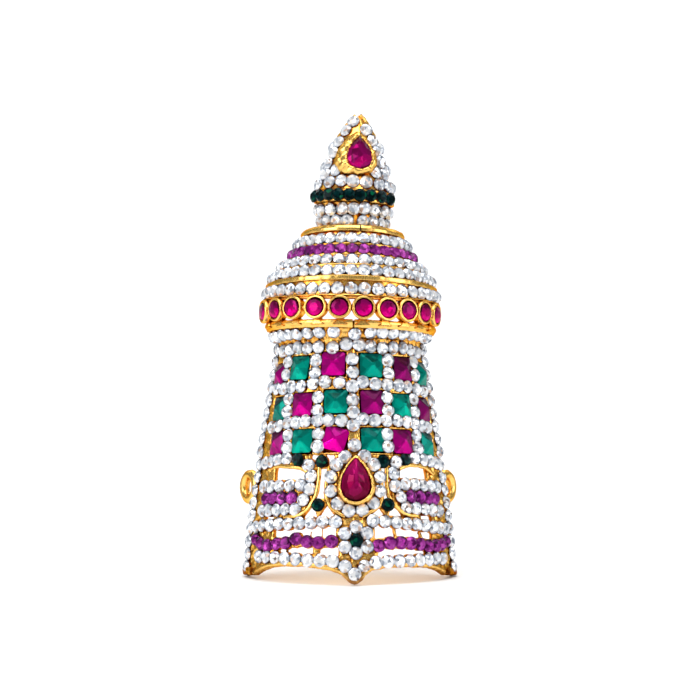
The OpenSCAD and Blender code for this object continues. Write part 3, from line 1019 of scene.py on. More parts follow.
def sweep_tree(upright: bool) -> NodeTree:
    """Builds the tree that sweeps an outline along a path and gives it a cast or hammered skin.

    Args:
        upright: Whether the outline stays upright.

    Returns:
        The tree. Its outline lies flat, with X away from the path's inside and Y down.
    """
    tree, add, given = new_tree("upright_sweep" if upright else "free_sweep", {
        "Outline": "Object", "Finish": "Material", "Fillet": "Float", "Bump": "Float", "Bump Size": "Float"})
    path = add("GeometryNodeMeshToCurve", Mesh=(given, "Geometry"))
    steady = add("GeometryNodeSetCurveNormal", mode="Z_UP" if upright else "MINIMUM_TWIST", Curve=path)
    shape = add("GeometryNodeObjectInfo", Object=(given, "Outline"))
    bent = add("GeometryNodeMeshToCurve", Mesh=(shape, "Geometry"))
    eased = add("GeometryNodeFilletCurve", mode="POLY", Curve=bent, Count=2, Radius=(given, "Fillet"),
                Limit_Radius=True)
    swept = add("GeometryNodeCurveToMesh", Curve=steady, Profile_Curve=eased, Fill_Caps=True)
    # The bumps rise and fall along the surface's own way out
    stretch = add("Math", operation="DIVIDE", Value=1.0, Value_001=(given, "Bump Size"))
    place = add("GeometryNodeInputPosition")
    skin = add("TexNoise", Vector=place, Scale=stretch, Detail=1.0)
    rise = add("Math", operation="MULTIPLY_ADD", Value=skin, Value_001=2.0, Value_002=-1.0)
    height = add("Math", operation="MULTIPLY", Value=rise, Value_001=(given, "Bump"))
    way = add("GeometryNodeInputNormal")
    lift = add("VectorMath", operation="SCALE", Vector=way, Scale=height)
    rough = add("GeometryNodeSetPosition", Geometry=swept, Offset=lift)
    smooth = add("GeometryNodeSetShadeSmooth", Geometry=rough)
    close_tree(add, smooth, given)
    return tree


# The pierced body


@dataclass
class Lace:
    """The cast wall of the body: solid behind the squares, pierced between the strips below.

    Its openings were cast and then filed by hand, so they have round corners and wander a little.
    """

    axes: CrownAxes
    cell: float = 0.22
    tiny: float = 1e-9
    top: float = 51.8
    seam: float = 24.9
    low: float = -2.2
    # Radius of the hollow for a small stone's cup, and how far off it counts
    cup: float = 1.36
    cup_reach: float = 3.0
    # How much an opening outgrows its chart, and the radius of its corners
    window_grow: float = 0.42
    window_corner: float = 0.4
    # How far from an opening its edges round, and by how much outside and inside
    rounding: float = 0.34
    rounded: Pair = (0.26, 0.2)
    # Half the width of a square stone's pocket, its depth and how steep its side is
    square_half: float = 2.62
    pocket: float = 0.6
    pocket_side: float = 0.2
    # The raised lip round a pocket: its height, its distance and its width
    lip: Triple = (0.16, 0.22, 0.16)
    # How much painted shade darkens the pockets for each millimetre of depth, and the inner face
    pocket_dirt: float = 1.6
    inner_dirt: float = 0.35
    # The lower edge is rough above the ground, and its slope shortens the distance to it
    rough_from: float = 0.9
    edge_slope: float = 0.9
    wander: Ripple = Ripple(2.6, 0.13, 5)
    jag: Ripple = Ripple(1.1, 0.08, 9)
    skin: tuple[Ripple, Ripple] = (Ripple(1.9, 0.1, 2), Ripple(0.85, 0.085, 3))

    # Lower edge of the shell. Columns: angle, height
    edge: Rows = (
        (-84, 0.35), (-63, 0.35), (-56, 1.2), (-48, 1.9), (-38, 2.1), (-28, 2), (-18, 1.7), (-10, 1.1),
        (-4, 0.2), (2.5, -1.8), (8, 0.2), (12, 1.1), (20, 1.7), (30, 1.9), (42, 1.9), (50, 1.7), (57, 1.1),
        (63, 0.35), (84, 0.35))
    # Openings through the wall. Columns: first angle, last angle, low, high
    windows: Rows = (
        (-42, -31.5, 4.75, 5.5), (-29.5, -22, 4.75, 5.5), (-15.5, -7.5, 4.4, 5.3),
        (17, 24, 4.3, 5.2), (26, 33.5, 4.4, 5.3), (35.5, 42, 4.5, 5.3), (44, 55, 4.7, 5.4),
        (-47, -36, 8.4, 9.5), (-34, -24, 8.5, 9.7), (-21.5, -17, 8.3, 9.7), (-14.5, -8.5, 8.2, 9.7),
        (15, 24, 8.1, 9.8), (28, 42, 8.3, 9.7), (45, 52, 8.2, 9.2),
        (-57, -50.5, 11.2, 12.2), (46, 53, 11.4, 12.2),
        (-52, -28.5, 20.05, 22.2), (-24, -20.5, 23.3, 24.4), (-14, -10.8, 23.3, 24.4),
        (33, 43, 20.2, 22.4), (45.5, 54, 20.4, 22.2), (42, 47, 20.2, 20.6),
        (-19.3, -15.3, 16.2, 21.6), (20, 23.8, 16.2, 21.6))
    # Three-cornered openings. Columns: angle, height, half width, rise, sideways shift of the top
    corners: Rows = (
        (-23.2, 12.6, 1.2, 1.8, 0.4), (-12.6, 12.7, 1.4, 1.7, -0.3),
        (16.2, 12.9, 1.2, 1.6, 0.3), (26.8, 13, 1.3, 1.7, -0.5))

    def across(self, angle: Array, height: Array, middle: float) -> Array:
        """Distance round the wall from a middle angle, in millimetres."""
        return np.radians(angle - middle) * self.axes.body.radius(height)

    def holes(self, angle: Array, height: Array) -> Array:
        """Measures how far places lie from the openings, before the stones' cups cut into them.

        Args:
            angle: Angle of each place.
            height: Its height.

        Returns:
            The distance outside the nearest opening, below zero inside it.
        """
        gap, grow_by, corner = np.full(angle.shape, FAR), self.window_grow, self.window_corner
        for first, last, low, high in self.windows:
            x = np.abs(self.across(angle, height, (first + last) / 2))
            y = np.abs(height - (low + high) / 2)
            radius = self.axes.body.radius((low + high) / 2)
            dx = x - math.radians(last - first) / 2 * radius - grow_by + corner
            dy = y - (high - low) / 2 - grow_by + corner
            box = np.hypot(np.maximum(dx, 0), np.maximum(dy, 0)) + np.minimum(np.maximum(dx, dy), 0) - corner
            gap = np.minimum(gap, box)
        for middle, low, half, rise, shift in self.corners:
            x, y = self.across(angle, height, middle), height - low + corner
            slope_left, slope_right = (half + shift) / rise, (half - shift) / rise
            left = (-x - half + slope_left * y) / math.hypot(1, slope_left)
            right = (x - half + slope_right * y) / math.hypot(1, slope_right)
            gap = np.minimum(gap, np.maximum(np.maximum(left, right), -y) - grow_by / 2)
        return gap

    def on_wall(self, angle: Array, height: Array) -> Array:
        """The places as points on the outer metal, where the casting's unevenness is drawn."""
        return around(angle, self.axes.body.radius(height), height)

    def metal(self, angle: Array, height: Array, stones: Array) -> Array:
        """Measures how far places lie inside the metal.

        Args:
            angle: Angle of each place of a grid.
            height: Its height.
            stones: Angle and height of each small stone.

        Returns:
            The distance from the nearest edge, below zero where the wall is open.
        """
        radius, points = self.axes.body.radius(height), self.on_wall(angle, height)
        wander = self.wander.over(points)
        inside = self.holes(angle + np.degrees(wander / radius), height + wander)
        cups = np.full(angle.shape, FAR)
        for middle, z in stones:
            near = np.abs(height[0] - z) < self.cup_reach
            x = self.across(angle[:, near], height[:, near], middle)
            cups[:, near] = np.minimum(cups[:, near], np.hypot(x, height[:, near] - z) - self.cup)
        inside = np.maximum(inside, -cups)
        floor = np.interp(angle, *np.array(self.edge).T)
        jag = self.jag.over(points) * (height > self.rough_from)
        inside = np.minimum(inside, (height - floor + jag) * self.edge_slope)
        return np.minimum(inside, np.radians(self.axes.edge_angle - np.abs(angle)) * radius)

    def relief(self, angle: Array, height: Array, squares: Array) -> Array:
        """Works out the outer face's relief: pockets, their lips and the cast skin.

        Args:
            angle: Angle of each place.
            height: Its height.
            squares: Angle and height of each square.

        Returns:
            How far each place stands out, below zero where it is sunk.
        """
        points, (lip, lip_place, lip_width) = self.on_wall(angle, height), self.lip
        rise = self.skin[0].over(points) + self.skin[1].over(points)
        for middle, z in squares:
            x = np.abs(self.across(angle, height, middle))
            away = np.maximum(x, np.abs(height - z)) - self.square_half
            rise += lip * np.exp(-((away - lip_place) / lip_width) ** 2)
            rise -= self.pocket * np.clip(0.5 - away / self.pocket_side, 0, 1)
        return rise

    def snapped(self, angle: Array, height: Array, inside: Array) -> tuple[Array, Array, Array]:
        """Moves the places of a grid that lie nearest to an opening's edge onto that edge.

        Args:
            angle: Angle of each place.
            height: Its height.
            inside: How far each place lies inside the metal.

        Returns:
            The angles, the heights and the distances after the move.
        """
        reach, hair = 0.55 * self.cell, 0.01
        edge, low, high = self.axes.edge_angle, height[0, 0], height[0, -1]
        columns, rows = angle.shape
        step_a, step_z = np.radians(2 * edge / (columns - 1)), (high - low) / (rows - 1)
        slope_a, slope_z = np.gradient(inside, step_a * self.axes.body.radius((low + high) / 2), step_z)
        steep = slope_a ** 2 + slope_z ** 2 + self.tiny
        close = (np.abs(inside) < reach) & (np.abs(angle) < edge - hair)
        close &= (height > low + hair) & (height < high - hair)
        radius = self.axes.body.radius(height)
        return (np.where(close, angle - np.degrees(inside * slope_a / steep / radius), angle),
                np.where(close, height - inside * slope_z / steep, height), np.where(close, 0, inside))

    def panel(self, name: str, low: float, high: float, stones: Array | None = None,
              squares: Array | None = None) -> Mesh:
        """Builds the wall between two heights.

        Args:
            name: Its name.
            low: Lowest height of the grid.
            high: Highest height of the grid.
            stones: Angle and height of each small stone whose cup is cut out, if any.
            squares: Angle and height of each square stone, if any.

        Returns:
            The wall as a closed mesh, with its pockets and inner face marked for painted shade.
        """
        none, edge = np.zeros((0, 2)), self.axes.edge_angle
        columns = int(np.radians(2 * edge) * self.axes.foot_r / self.cell)
        rows = int((high - low) / self.cell)
        angle, height = np.meshgrid(np.linspace(-edge, edge, columns), np.linspace(low, high, rows),
                                    indexing="ij")
        inside = self.metal(angle, height, none if stones is None else stones)
        angle, height, inside = self.snapped(angle, height, inside)
        index = np.arange(columns * rows).reshape(columns, rows)
        # A cell of the grid is metal where none of its four corners lies in an opening
        ends = (slice(None, -1), slice(1, None))
        corners = [(ends[a], ends[b]) for a, b in ((0, 0), (1, 0), (1, 1), (0, 1))]
        kept = np.minimum.reduce([inside[c] for c in corners]) >= -self.tiny
        outer = np.stack([index[c] for c in corners], -1)[kept]
        rise = self.relief(angle, height, none if squares is None else squares)
        drop = (1 - np.clip(inside / self.rounding, 0, 1)) ** 2
        radius = self.axes.body.radius(height)
        layers = (radius + rise - self.rounded[0] * drop, radius - self.axes.wall + self.rounded[1] * drop)
        points = np.vstack([around(angle, r, height).reshape(-1, 3) for r in layers])
        count = columns * rows
        faces = np.vstack([outer, outer[:, ::-1] + count, self.side_faces(outer, count)])
        used, faces = np.unique(faces, return_inverse=True)
        mesh = mesh_from(name, self.axes.to_frame(points[used]), faces.reshape(-1, 4))
        # Painted shade: the pockets darken by their depth, and the whole inner face a little
        painted_shade = [np.clip(-rise.ravel() * self.pocket_dirt, 0, 1), np.full(count, self.inner_dirt)]
        mark(mesh, "hollow", np.concatenate(painted_shade)[used])
        return mesh

    def side_faces(self, outer: Array, count: int) -> Array:
        """Closes the wall along every free edge of its outer face.

        Args:
            outer: The faces of the outer face.
            count: How much higher the numbers of the inner face's points are.

        Returns:
            The faces from the outer face to the inner one.
        """
        edges = np.vstack([outer[:, [i, (i + 1) % 4]] for i in range(4)])
        _, first, uses = np.unique(np.sort(edges, 1), axis=0, return_index=True, return_counts=True)
        free = edges[first[uses == 1]]
        return np.stack([free[:, 1], free[:, 0], free[:, 0] + count, free[:, 1] + count], 1)


@dataclass
class Bench:
    """What every part of the crown is made with: its axes, its nodes, its finishes and its tools."""

    axes: CrownAxes
    nodes: dict[str, Object]
    finishes: dict[Slot, Material]
    stones_on_seats: NodeTree = field(init=False)
    sweeps: dict[bool, NodeTree] = field(init=False)
    small: Object = field(init=False)
    cup: Object = field(init=False)
    # How strongly the front draws the small stones
    flatness: float = 0.25
    small_diameter: float = 2.7
    small_height: float = 0.95
    # The circle in the middle of a cup's wall, and how much painted shade its metal takes
    cup_r: float = 0.9
    cup_steps: int = 12
    cup_dirt: float = 0.9
    # Radius of the path of turned shapes, and how far stones in a setting stray
    core_r: float = 5.0
    set_stray: float = 0.03

    # Section of a small stone's cup. Columns: out from its circle, up
    cup_section: Rows = ((0.1, -0.4), (0.4, -0.4), (0.44, 0.12), (0.36, 0.26), (0.24, 0.2), (0.2, 0.05),
                         (0.1, 0.0))

    def __post_init__(self) -> None:
        """Builds the trees, and once for all the fields the small stone and its cup."""
        self.stones_on_seats = stone_tree()
        self.sweeps = {upright: sweep_tree(upright) for upright in (True, False)}
        self.small = round_cut("chaton", self.small_diameter, self.small_height, CHATON).make()
        self.cup = self.small_ring("cup", self.cup_r, self.cup_steps, self.cup_section, Skin())
        # Painted shade: the cups are marked as deep hollows, so their gold darkens under the stones
        mark(self.cup.data, "hollow", [self.cup_dirt] * len(self.cup.data.vertices))

    @property
    def gold(self) -> Material:
        """The finish of all the metal."""
        return self.finishes[Slot.GOLD]

    def hand_over(self, piece: Object, slot: Slot, *nodes: str) -> None:
        """Puts a finished piece on the crown's body.

        Args:
            piece: The piece.
            slot: The slot of its finish; not used.
            nodes: The frame nodes that it stands for.
        """
        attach(piece, BODY_NAME)
        if nodes:
            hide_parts(*nodes)
        log.info("%s: %d faces, for %s", piece.name, len(piece.data.polygons), ", ".join(nodes) or "no node")

    def gold_piece(self, name: str, mesh: Mesh, *nodes: str) -> None:
        """Makes a piece of gold from a mesh in the frame, for the nodes that it stands for."""
        self.hand_over(place_piece(name, mesh, self.gold), Slot.GOLD, *nodes)

    def set_stones(self, name: str, seats: Seats, stone: Object, finish: Material, chance: Chance) -> Object:
        """Sets one stone on each seat.

        Args:
            name: Its name.
            seats: Where the stones sit.
            stone: The cut stone, or another small shape.
            finish: Its finish.
            chance: How far the stones stray from their seats.

        Returns:
            All the stones as one piece.
        """
        bare = mesh_from(name + "_seats", seats.place, [])
        mark(bare, "out", seats.out, "FLOAT_VECTOR")
        mark(bare, "up", seats.up, "FLOAT_VECTOR")
        return grow(name, bare, self.stones_on_seats, Stone=stone, Finish=finish, Tilt=chance.tilt,
                    Spin=chance.spin, Spread=chance.spread, Shift=chance.shift * MM, Seed=chance.seed)

    def sweep(self, name: str, path: Array, outline: Array, skin: Skin, closed: bool,
              stand: Matrix) -> Object:
        """Sweeps an outline of gold along a path.

        Args:
            name: Its name.
            path: Points of the path.
            outline: Its points: away from the path's inside, and up.
            skin: Its corners and bumps.
            closed: Whether the path is a loop.
            stand: Takes the piece from millimetres to its place.

        Returns:
            The piece.
        """
        flat = np.column_stack([outline[:, 0], -outline[:, 1], np.zeros(len(outline))])
        across = np.roll(flat, -1, 0)
        if (flat[:, 0] * across[:, 1] - across[:, 0] * flat[:, 1]).sum() < 0:
            flat = flat[::-1]
        section = bpy.data.objects.new(name + "_outline", line_mesh(name + "_outline", flat, True))
        piece = grow(name, line_mesh(name + "_path", path, closed), self.sweeps[skin.upright],
                     Outline=section, Finish=self.gold, Fillet=skin.fillet, Bump=skin.bump,
                     Bump_Size=skin.bump_size)
        piece.data.transform(stand)
        return piece

    def small_ring(self, name: str, radius: float, steps: int, outline: Rows, skin: Skin) -> Object:
        """Turns a small ring of gold that is then repeated, such as a stone's cup.

        Args:
            name: Its name.
            radius: Radius of the circle that its outline follows.
            steps: How many steps the circle has.
            outline: Its points: out from the circle, and up.
            skin: Its corners and bumps.

        Returns:
            The ring in metres, taken out of the scene.
        """
        circle = round_ring(steps, radius)
        ring = self.sweep(name, circle, np.array(outline), skin, True, Matrix.Scale(MM, 4))
        bpy.context.scene.collection.objects.unlink(ring)
        return ring

    def swept(self, name: str, path: Array, outline: Array, skin: Skin, part: Part = Part.BODY,
              closed: bool = False) -> None:
        """Sweeps an outline of gold along a path on a stage's own axes, and hands the piece over."""
        piece = self.sweep(name, path, outline, skin, closed, Matrix(self.axes.matrix(part)))
        self.hand_over(piece, Slot.GOLD)

    def revolved(self, name: str, outline: Array, skin: Skin, part: Part, first: float | None = None,
                 last: float | None = None, steps: int = 150) -> None:
        """Sweeps an outline of heights and radii round the crown's axis.

        Args:
            name: Its name.
            outline: Its bends, each a height and a radius.
            skin: Its corners and bumps.
            part: The stage.
            first: The first angle, or none for the rear edge.
            last: The last angle, in the same way.
            steps: How many steps the whole half shell has.
        """
        edge = self.axes.edge_angle
        first, last = -edge if first is None else first, edge if last is None else last
        angles = np.linspace(first, last, max(2, round(steps * (last - first) / (2 * edge))) + 1)
        flat = np.stack([outline[:, 1] - self.core_r, outline[:, 0]], 1)
        self.swept(name, around(angles, self.core_r, 0.0), flat, skin, part)

    def split_ring(self, name: str, outline: Array, skin: Skin, part: Part, split: float,
                   gap: float) -> None:
        """Sweeps a ring as a left and a right piece, with half a gap to each side of its split."""
        self.revolved(f"{name}_{Side.LEFT.word}", outline, skin, part, last=split - gap)
        self.revolved(f"{name}_{Side.RIGHT.word}", outline, skin, part, first=split + gap)

    def cupped_stones(self, name: str, seats: Seats, slot: Slot, seed: int, *nodes: str,
                      flatness: float | None = None) -> None:
        """Sets small round stones on seats, each in its gold cup.

        Args:
            name: Name of the field.
            seats: Where the backs of the stones lie.
            slot: Which glass they are.
            seed: Picks how they sit.
            nodes: The frame nodes that the stones stand for.
            flatness: How strongly the front draws them, or none for the bench's own.
        """
        seats = seats.facing_front(self.flatness if flatness is None else flatness)
        chance = Chance(seed, tilt=0.12, spin=1.0, spread=0.05, shift=0.07)
        stones = self.set_stones(name + "_cut", seats, self.small, self.finishes[slot], chance)
        self.hand_over(stones, slot, *nodes)
        cups = self.set_stones(name + "_cups", seats, self.cup, self.gold, chance)
        self.hand_over(cups, Slot.GOLD)

    def main_stone(self, node: str, stone: Object, slot: Slot, seed: int, turn: float = 0.0,
                   light: float = 0.0, lift: float = 0.0, drop: float = 0.0,
                   finish: Material | None = None) -> None:
        """Puts one cut stone in the place of a frame node.

        Args:
            node: The node's name.
            stone: The cut stone.
            slot: Which glass it is.
            seed: Picks how it sits.
            turn: How far it is turned on its seat, in degrees.
            light: How much lighter than its fellows it is.
            lift: How much lighter its upper end is than its middle.
            drop: How far below the middle of its cup it sits, in millimetres.
            finish: Its own glass, or none for its slot's.
        """
        seats = seats_of_node(self.axes, self.nodes[node])
        seats.place = seats.place - seats.up * drop * MM
        if turn:
            c, s = cos_sin(turn)
            seats.up = seats.up * c + np.cross(seats.out, seats.up) * s
        piece = self.set_stones(node + "_cut", seats, stone, finish or self.finishes[slot],
                                Chance(seed, tilt=self.set_stray, spin=self.set_stray))
        heights = np.array([v.co.z for v in piece.data.vertices])
        heights = 2 * (heights - heights.min()) / np.ptp(heights) - 1
        mark(piece.data, "light", light + lift * heights)
        self.hand_over(piece, slot, node)


@dataclass(frozen=True)
class Bezel:
    """A hammered rim round a pear stone, in millimetres on the stone's seat."""

    # Width and length of the stone, those of the rim's outside, and how far that lies off the stone
    pear: Pair
    rim: Pair
    shift: Pair
    # Columns: share of the way from the stone to the outside, height
    section: Rows
    # Height of the hammer marks
    lumps: float
    # Share of the stone's width and of its length that the lip leaves open, and how far up it sits
    mouth: Triple = (1.0, 1.0, 0.0)
    mouth_from: float = 0.8
    # Near the stone, below its girdle, the metal is smooth
    smooth_share: float = 0.1
    smooth_height: float = 0.5
    marks: tuple[Ripple, Ripple] = (Ripple(1.7, 1.0, 31), Ripple(0.8, 0.4, 32))
    # How heights count in the broad marks, and how far a mark pushes outwards
    upright_share: float = 0.6
    push: float = 0.1
    count: int = 96

    def mesh(self, name: str, seat: Seats) -> Mesh:
        """Builds the rim.

        Args:
            name: Its name.
            seat: The stone's seat.

        Returns:
            The rim as a closed ring, in the frame.
        """
        count = self.count
        wide, long, rise = self.mouth
        edge, outer = pear_ring(*self.pear, 0.0, count), pear_ring(*self.rim, 0.0, count)
        mouth = pear_ring(self.pear[0] * wide, self.pear[1] * long, 0.0, count, rise)
        outer[:, :2] += self.shift
        rings = []
        for share, height in self.section:
            inner = edge if height < self.mouth_from else mouth
            ring = inner + (outer - inner) * share
            ring[:, 2] = height
            smooth = share < self.smooth_share and height < self.smooth_height
            broad = self.marks[0].over(ring * [1, 1, self.upright_share])
            lump = (broad + self.marks[1].over(ring)) * (0.0 if smooth else self.lumps)
            ring = ring + np.outer(lump, [0.0, 0.0, 1.0])
            rings.append(ring + (outer - inner) * (lump * self.push)[:, None])
        index = np.arange(len(rings) * count).reshape(len(rings), count)
        ahead = np.roll(index, -1, 0)
        faces = np.stack([index, ahead, np.roll(ahead, -1, 1), np.roll(index, -1, 1)], -1).reshape(-1, 4)
        mesh = mesh_from(name, np.vstack(rings), faces)
        mesh.transform(Matrix(seat.matrix()))
        return mesh


# The crown, from its feet to its tip


@dataclass
class BasePanel:
    """The pierced panel at the bottom, with its pear stone, runs of small stones and tie loops."""

    bench: Bench
    pear_height: float = 2.3
    pear_seat: Pair = (3.2, 19.5)
    pear_light: float = -0.15
    pear_lift: float = 0.2
    pear_seed: int = 3
    bezel: Bezel = Bezel((5.9, 8.9), (7.9, 10.9), (0.15, 0.05), (
        (0.02, 0.1), (0.05, 1.0), (0.2, 1.42), (0.5, 1.5), (0.8, 1.15), (1.0, 0.3), (1.0, -0.5), (0.1, -0.5)),
        lumps=0.2)
    band_width: float = 0.85
    band_thick: float = 0.8
    band_lift: float = 0.12
    band_skin: Skin = Skin(0.3, 0.24, 1.1, upright=False)
    # How far the lower edge's lumps stand above it and lie inside the wall's outer face
    edge_rise: float = 0.12
    edge_depth: float = 0.2
    steps_per_degree: float = 1.2
    least_steps: int = 8
    loop_r: float = 2.6
    loop_wire: float = 2.1
    loop_z: float = 19.0
    loop_turn: float = 60.0
    loop_gap: float = 0.2
    loop_skin: Skin = Skin(0.98, 0.06, 0.7, upright=False)

    # Fields of small stones. Columns: name, slot, seed
    fields: Table = (("base_clears", Slot.CLEAR, 80), ("base_purples", Slot.PURPLE, 81),
                     ("base_greens", Slot.DARK_GREEN, 82))
    # Raised bands round the leaves and the pear. Rows of angle, height
    bands: tuple[Rows, ...] = (
        ((-18.6, 22.2), (-18.8, 19.6), (-19.4, 17.2), (-22, 15), (-26.5, 13.2), (-31, 12.35),
         (-40, 12.2)),
        ((22.6, 22.3), (21.9, 20), (22, 17.4), (24, 15.6), (28, 13.9), (33, 12.7), (41, 12.35)),
        ((-12.6, 22), (-13.9, 19.6), (-13.9, 16.6), (-11.9, 14.6), (-7.5, 13.1), (-2.6, 12.1)),
        ((17.6, 22.2), (18.7, 19.8), (18.9, 17), (17.2, 14.6), (12, 13.2), (7, 12.1)),
        ((-52, 22.7), (-46, 22.75), (-38, 22.5), (-31, 22.15), (-25.8, 21.3)),
        ((31, 22), (37, 22.75), (45, 22.85), (53, 22.5), (61, 21.2)))
    # Lumps of metal along the lower edge. Columns: name, first angle, last angle, width, height, bump
    lumps: Table = (
        ("lower_edge", -62, 62, 1.25, 0.95, 0.22), ("front_point", -5.5, 9.5, 1.5, 1.3, 0.3),
        ("left_foot", -82.5, -67, 1.7, 1.5, 0.35), ("right_foot", 67, 82.5, 1.7, 1.5, 0.35))
    # Distance of each tie loop's middle from the crown's own middle
    loops: Table = ((Side.LEFT, 21.0), (Side.RIGHT, 20.2))

    def build(self) -> None:
        """Builds every piece of the base panel, from its small stones to its tie loops."""
        bench, lace, spots = self.bench, Lace(self.bench.axes), []
        for name, slot, seed in self.fields:
            seats = seats_of_node(bench.axes, bench.nodes[name])
            spots.append(bench.axes.spots(seats.place))
            bench.cupped_stones(name, seats, slot, seed, name)
        wall = lace.panel("base_lace", lace.low, lace.seam, stones=np.vstack(spots))
        bench.gold_piece("base_lace", wall, "crown_frame")
        for i, band in enumerate(self.bands, 1):
            angle, height = smooth_path(np.array(band), 5).T
            path = around(angle, bench.axes.body.radius(height) + self.band_lift, height)
            bench.swept(f"leaf_band_{i}", path, bar_outline(self.band_width, self.band_thick), self.band_skin)
        self.lower_edge()
        self.set_pear()
        self.tie_loops()

    def set_pear(self) -> None:
        """Sets the pear stone in its bright bezel."""
        bench = self.bench
        seat = seats_on(bench.axes, bench.axes.body, np.array([self.pear_seat]), Part.BODY)
        bench.gold_piece("base_pear_bezel", self.bezel.mesh("base_pear_bezel", seat))
        stone = pear_cut(*self.bezel.pear, self.pear_height).make()
        bench.main_stone("base_pear_stone", stone, Slot.RUBY, self.pear_seed, light=self.pear_light,
                         lift=self.pear_lift, finish=CRIMSON.make())

    def lower_edge(self) -> None:
        """Thickens the rough lower edge, with lumps of metal at its front point and its two feet."""
        bench = self.bench
        spots = smooth_path(np.array(Lace.edge, float)[1:-1], 8)
        for name, first, last, width, thick, bump in self.lumps:
            steps = max(self.least_steps, int((last - first) * self.steps_per_degree))
            angle = np.linspace(first, last, steps)
            height = np.interp(angle, *spots.T) + thick / 2 + self.edge_rise
            path = around(angle, bench.axes.body.radius(height) - self.edge_depth, height)
            bench.swept(name, path, bar_outline(width, thick), Skin(0.35, bump, 1.3, upright=False))

    def tie_loops(self) -> None:
        """Bends the thick loop behind each rear edge, turned back from the front."""
        axes, (c, s) = self.bench.axes, cos_sin(self.loop_turn)
        rear = -axes.body.radius(self.loop_z) * cos_sin(axes.edge_angle)[0]
        y = rear + self.loop_r * s + self.loop_gap
        along, up, _ = round_ring(48, self.loop_r).T
        wire = bar_outline(self.loop_wire, self.loop_wire)
        for side, distance in self.loops:
            path = [side.value * distance + along * c, y + side.value * along * s, self.loop_z + up]
            self.bench.swept(f"tie_loop_{side.word}", np.stack(path, 1), wire, self.loop_skin, closed=True)


@dataclass
class Checker:
    """The solid middle of the body: three courses of squares with strips of small stones between."""

    bench: Bench
    square: float = 4.9
    square_height: float = 1.7
    first_seed: int = 20
    strip_seed: int = 41
    # Angle of the two columns of small stones at the rear edges, and their heights
    edge_angle: float = 80.0
    edge_heights: tuple[float, ...] = (26.2, 28.9, 31.6, 34.3, 37.0, 39.7, 42.4, 45.1, 47.7)

    # Pairs of small stones between each course's squares. Columns: angles, heights
    pairs: tuple[Rows, ...] = (
        ((-54, -26.3, 29.3, 55.5), (44.6, 41.9)),
        ((-47.3, -22.3, 26.3, 49.6), (36.7, 34)),
        ((-43.8, -20.9, 24.2, 48), (29.1, 26.5)))
    # Rows of small stones along the courses and down the front. Columns: angle, height
    strips: tuple[Rows, ...] = (
        ((-64.6, 39.1), (-55, 39), (-46.2, 39.2), (-36.8, 39.3), (-27.4, 39.7), (-18, 40), (-7.4, 39.7),
         (9.3, 39.9), (18.1, 39.5), (27.5, 39.5), (36.6, 39.5), (45.3, 39.2), (55.2, 38.8), (65.2, 38.6)),
        ((-63.5, 31), (-54.2, 31.2), (-45.6, 31.7), (-38, 31.7), (-30.6, 31.9), (-22, 31.9), (-14, 32),
         (-5.9, 31.8), (8.6, 32.2), (16.6, 31.9), (24.7, 31.9), (33, 32), (41, 31.8), (48, 31.5),
         (55.5, 31.2), (63, 31)),
        ((-64, 47.1), (-53.8, 47.2), (-44.5, 47.5), (-35, 47.3), (-25, 47.3), (-13.5, 47.2), (-3.1, 47.9),
         (7, 47.8), (15.9, 47.5), (25.6, 47.2), (35.3, 47.4), (45.3, 47.5), (54.4, 47.2), (64, 46.8)),
        ((-75, 50.3), (-66, 50.3), (-57.2, 50.4), (-49, 50.4), (-41, 50.4), (-31.3, 50.4), (-22.2, 50.4),
         (-11.7, 50.4), (3.8, 50.1), (14.5, 50.4), (23.8, 50.4), (32.3, 50.4), (41, 50.4), (49.7, 50.4),
         (58.3, 50.4), (67.2, 50.3), (76, 50.3)),
        ((1.7, 44.7), (1.7, 41.9), (1.7, 39), (1.9, 36.2), (2, 33.6), (2.2, 30.9)))
    # Squares turned in their pocket, in degrees, and how much lighter some are
    turned: Table = (("pink_square_8", -16.0),)
    light: Table = (
        ("pink_square_1", -0.05), ("pink_square_2", 0.1), ("pink_square_3", -0.2), ("pink_square_4", 0.06),
        ("pink_square_5", -0.12), ("pink_square_6", -0.2), ("pink_square_7", -0.12), ("pink_square_8", 0.2),
        ("green_square_1", 0.1), ("green_square_4", -0.12), ("green_square_6", 0.12),
        ("green_square_7", 0.14))

    def spots(self) -> Array:
        """Charts every small stone of the checker and the neck.

        Returns:
            The angle and height of each.
        """
        pairs = [(a, z) for angles, heights in self.pairs for a in angles for z in heights]
        strips = [spot for strip in self.strips for spot in strip]
        edges = [(side.value * self.edge_angle, z) for z in self.edge_heights for side in Side]
        return np.array(pairs + strips + edges, float)

    def build(self) -> None:
        """Builds the wall and sets its stones."""
        bench, lace = self.bench, Lace(self.bench.axes)
        names = [n for n in bench.nodes if "_square_" in n]
        places = np.vstack([seats_of_node(bench.axes, bench.nodes[n]).place for n in names])
        wall = lace.panel("checker_wall", lace.seam, lace.top, squares=bench.axes.spots(places))
        bench.gold_piece("checker_wall", wall)
        stone = square_cut(self.square, self.square_height).make()
        turned, light = dict(self.turned), dict(self.light)
        for seed, name in enumerate(names, self.first_seed):
            slot = Slot.PINK if name.startswith("pink") else Slot.GREEN
            bench.main_stone(name, stone, slot, seed, turned.get(name, 0.0), light.get(name, 0.0))
        seats = seats_on(bench.axes, bench.axes.body, self.spots(), Part.BODY).moved_out(STAND_OFF)
        bench.cupped_stones("checker_clears", seats, Slot.CLEAR, self.strip_seed)


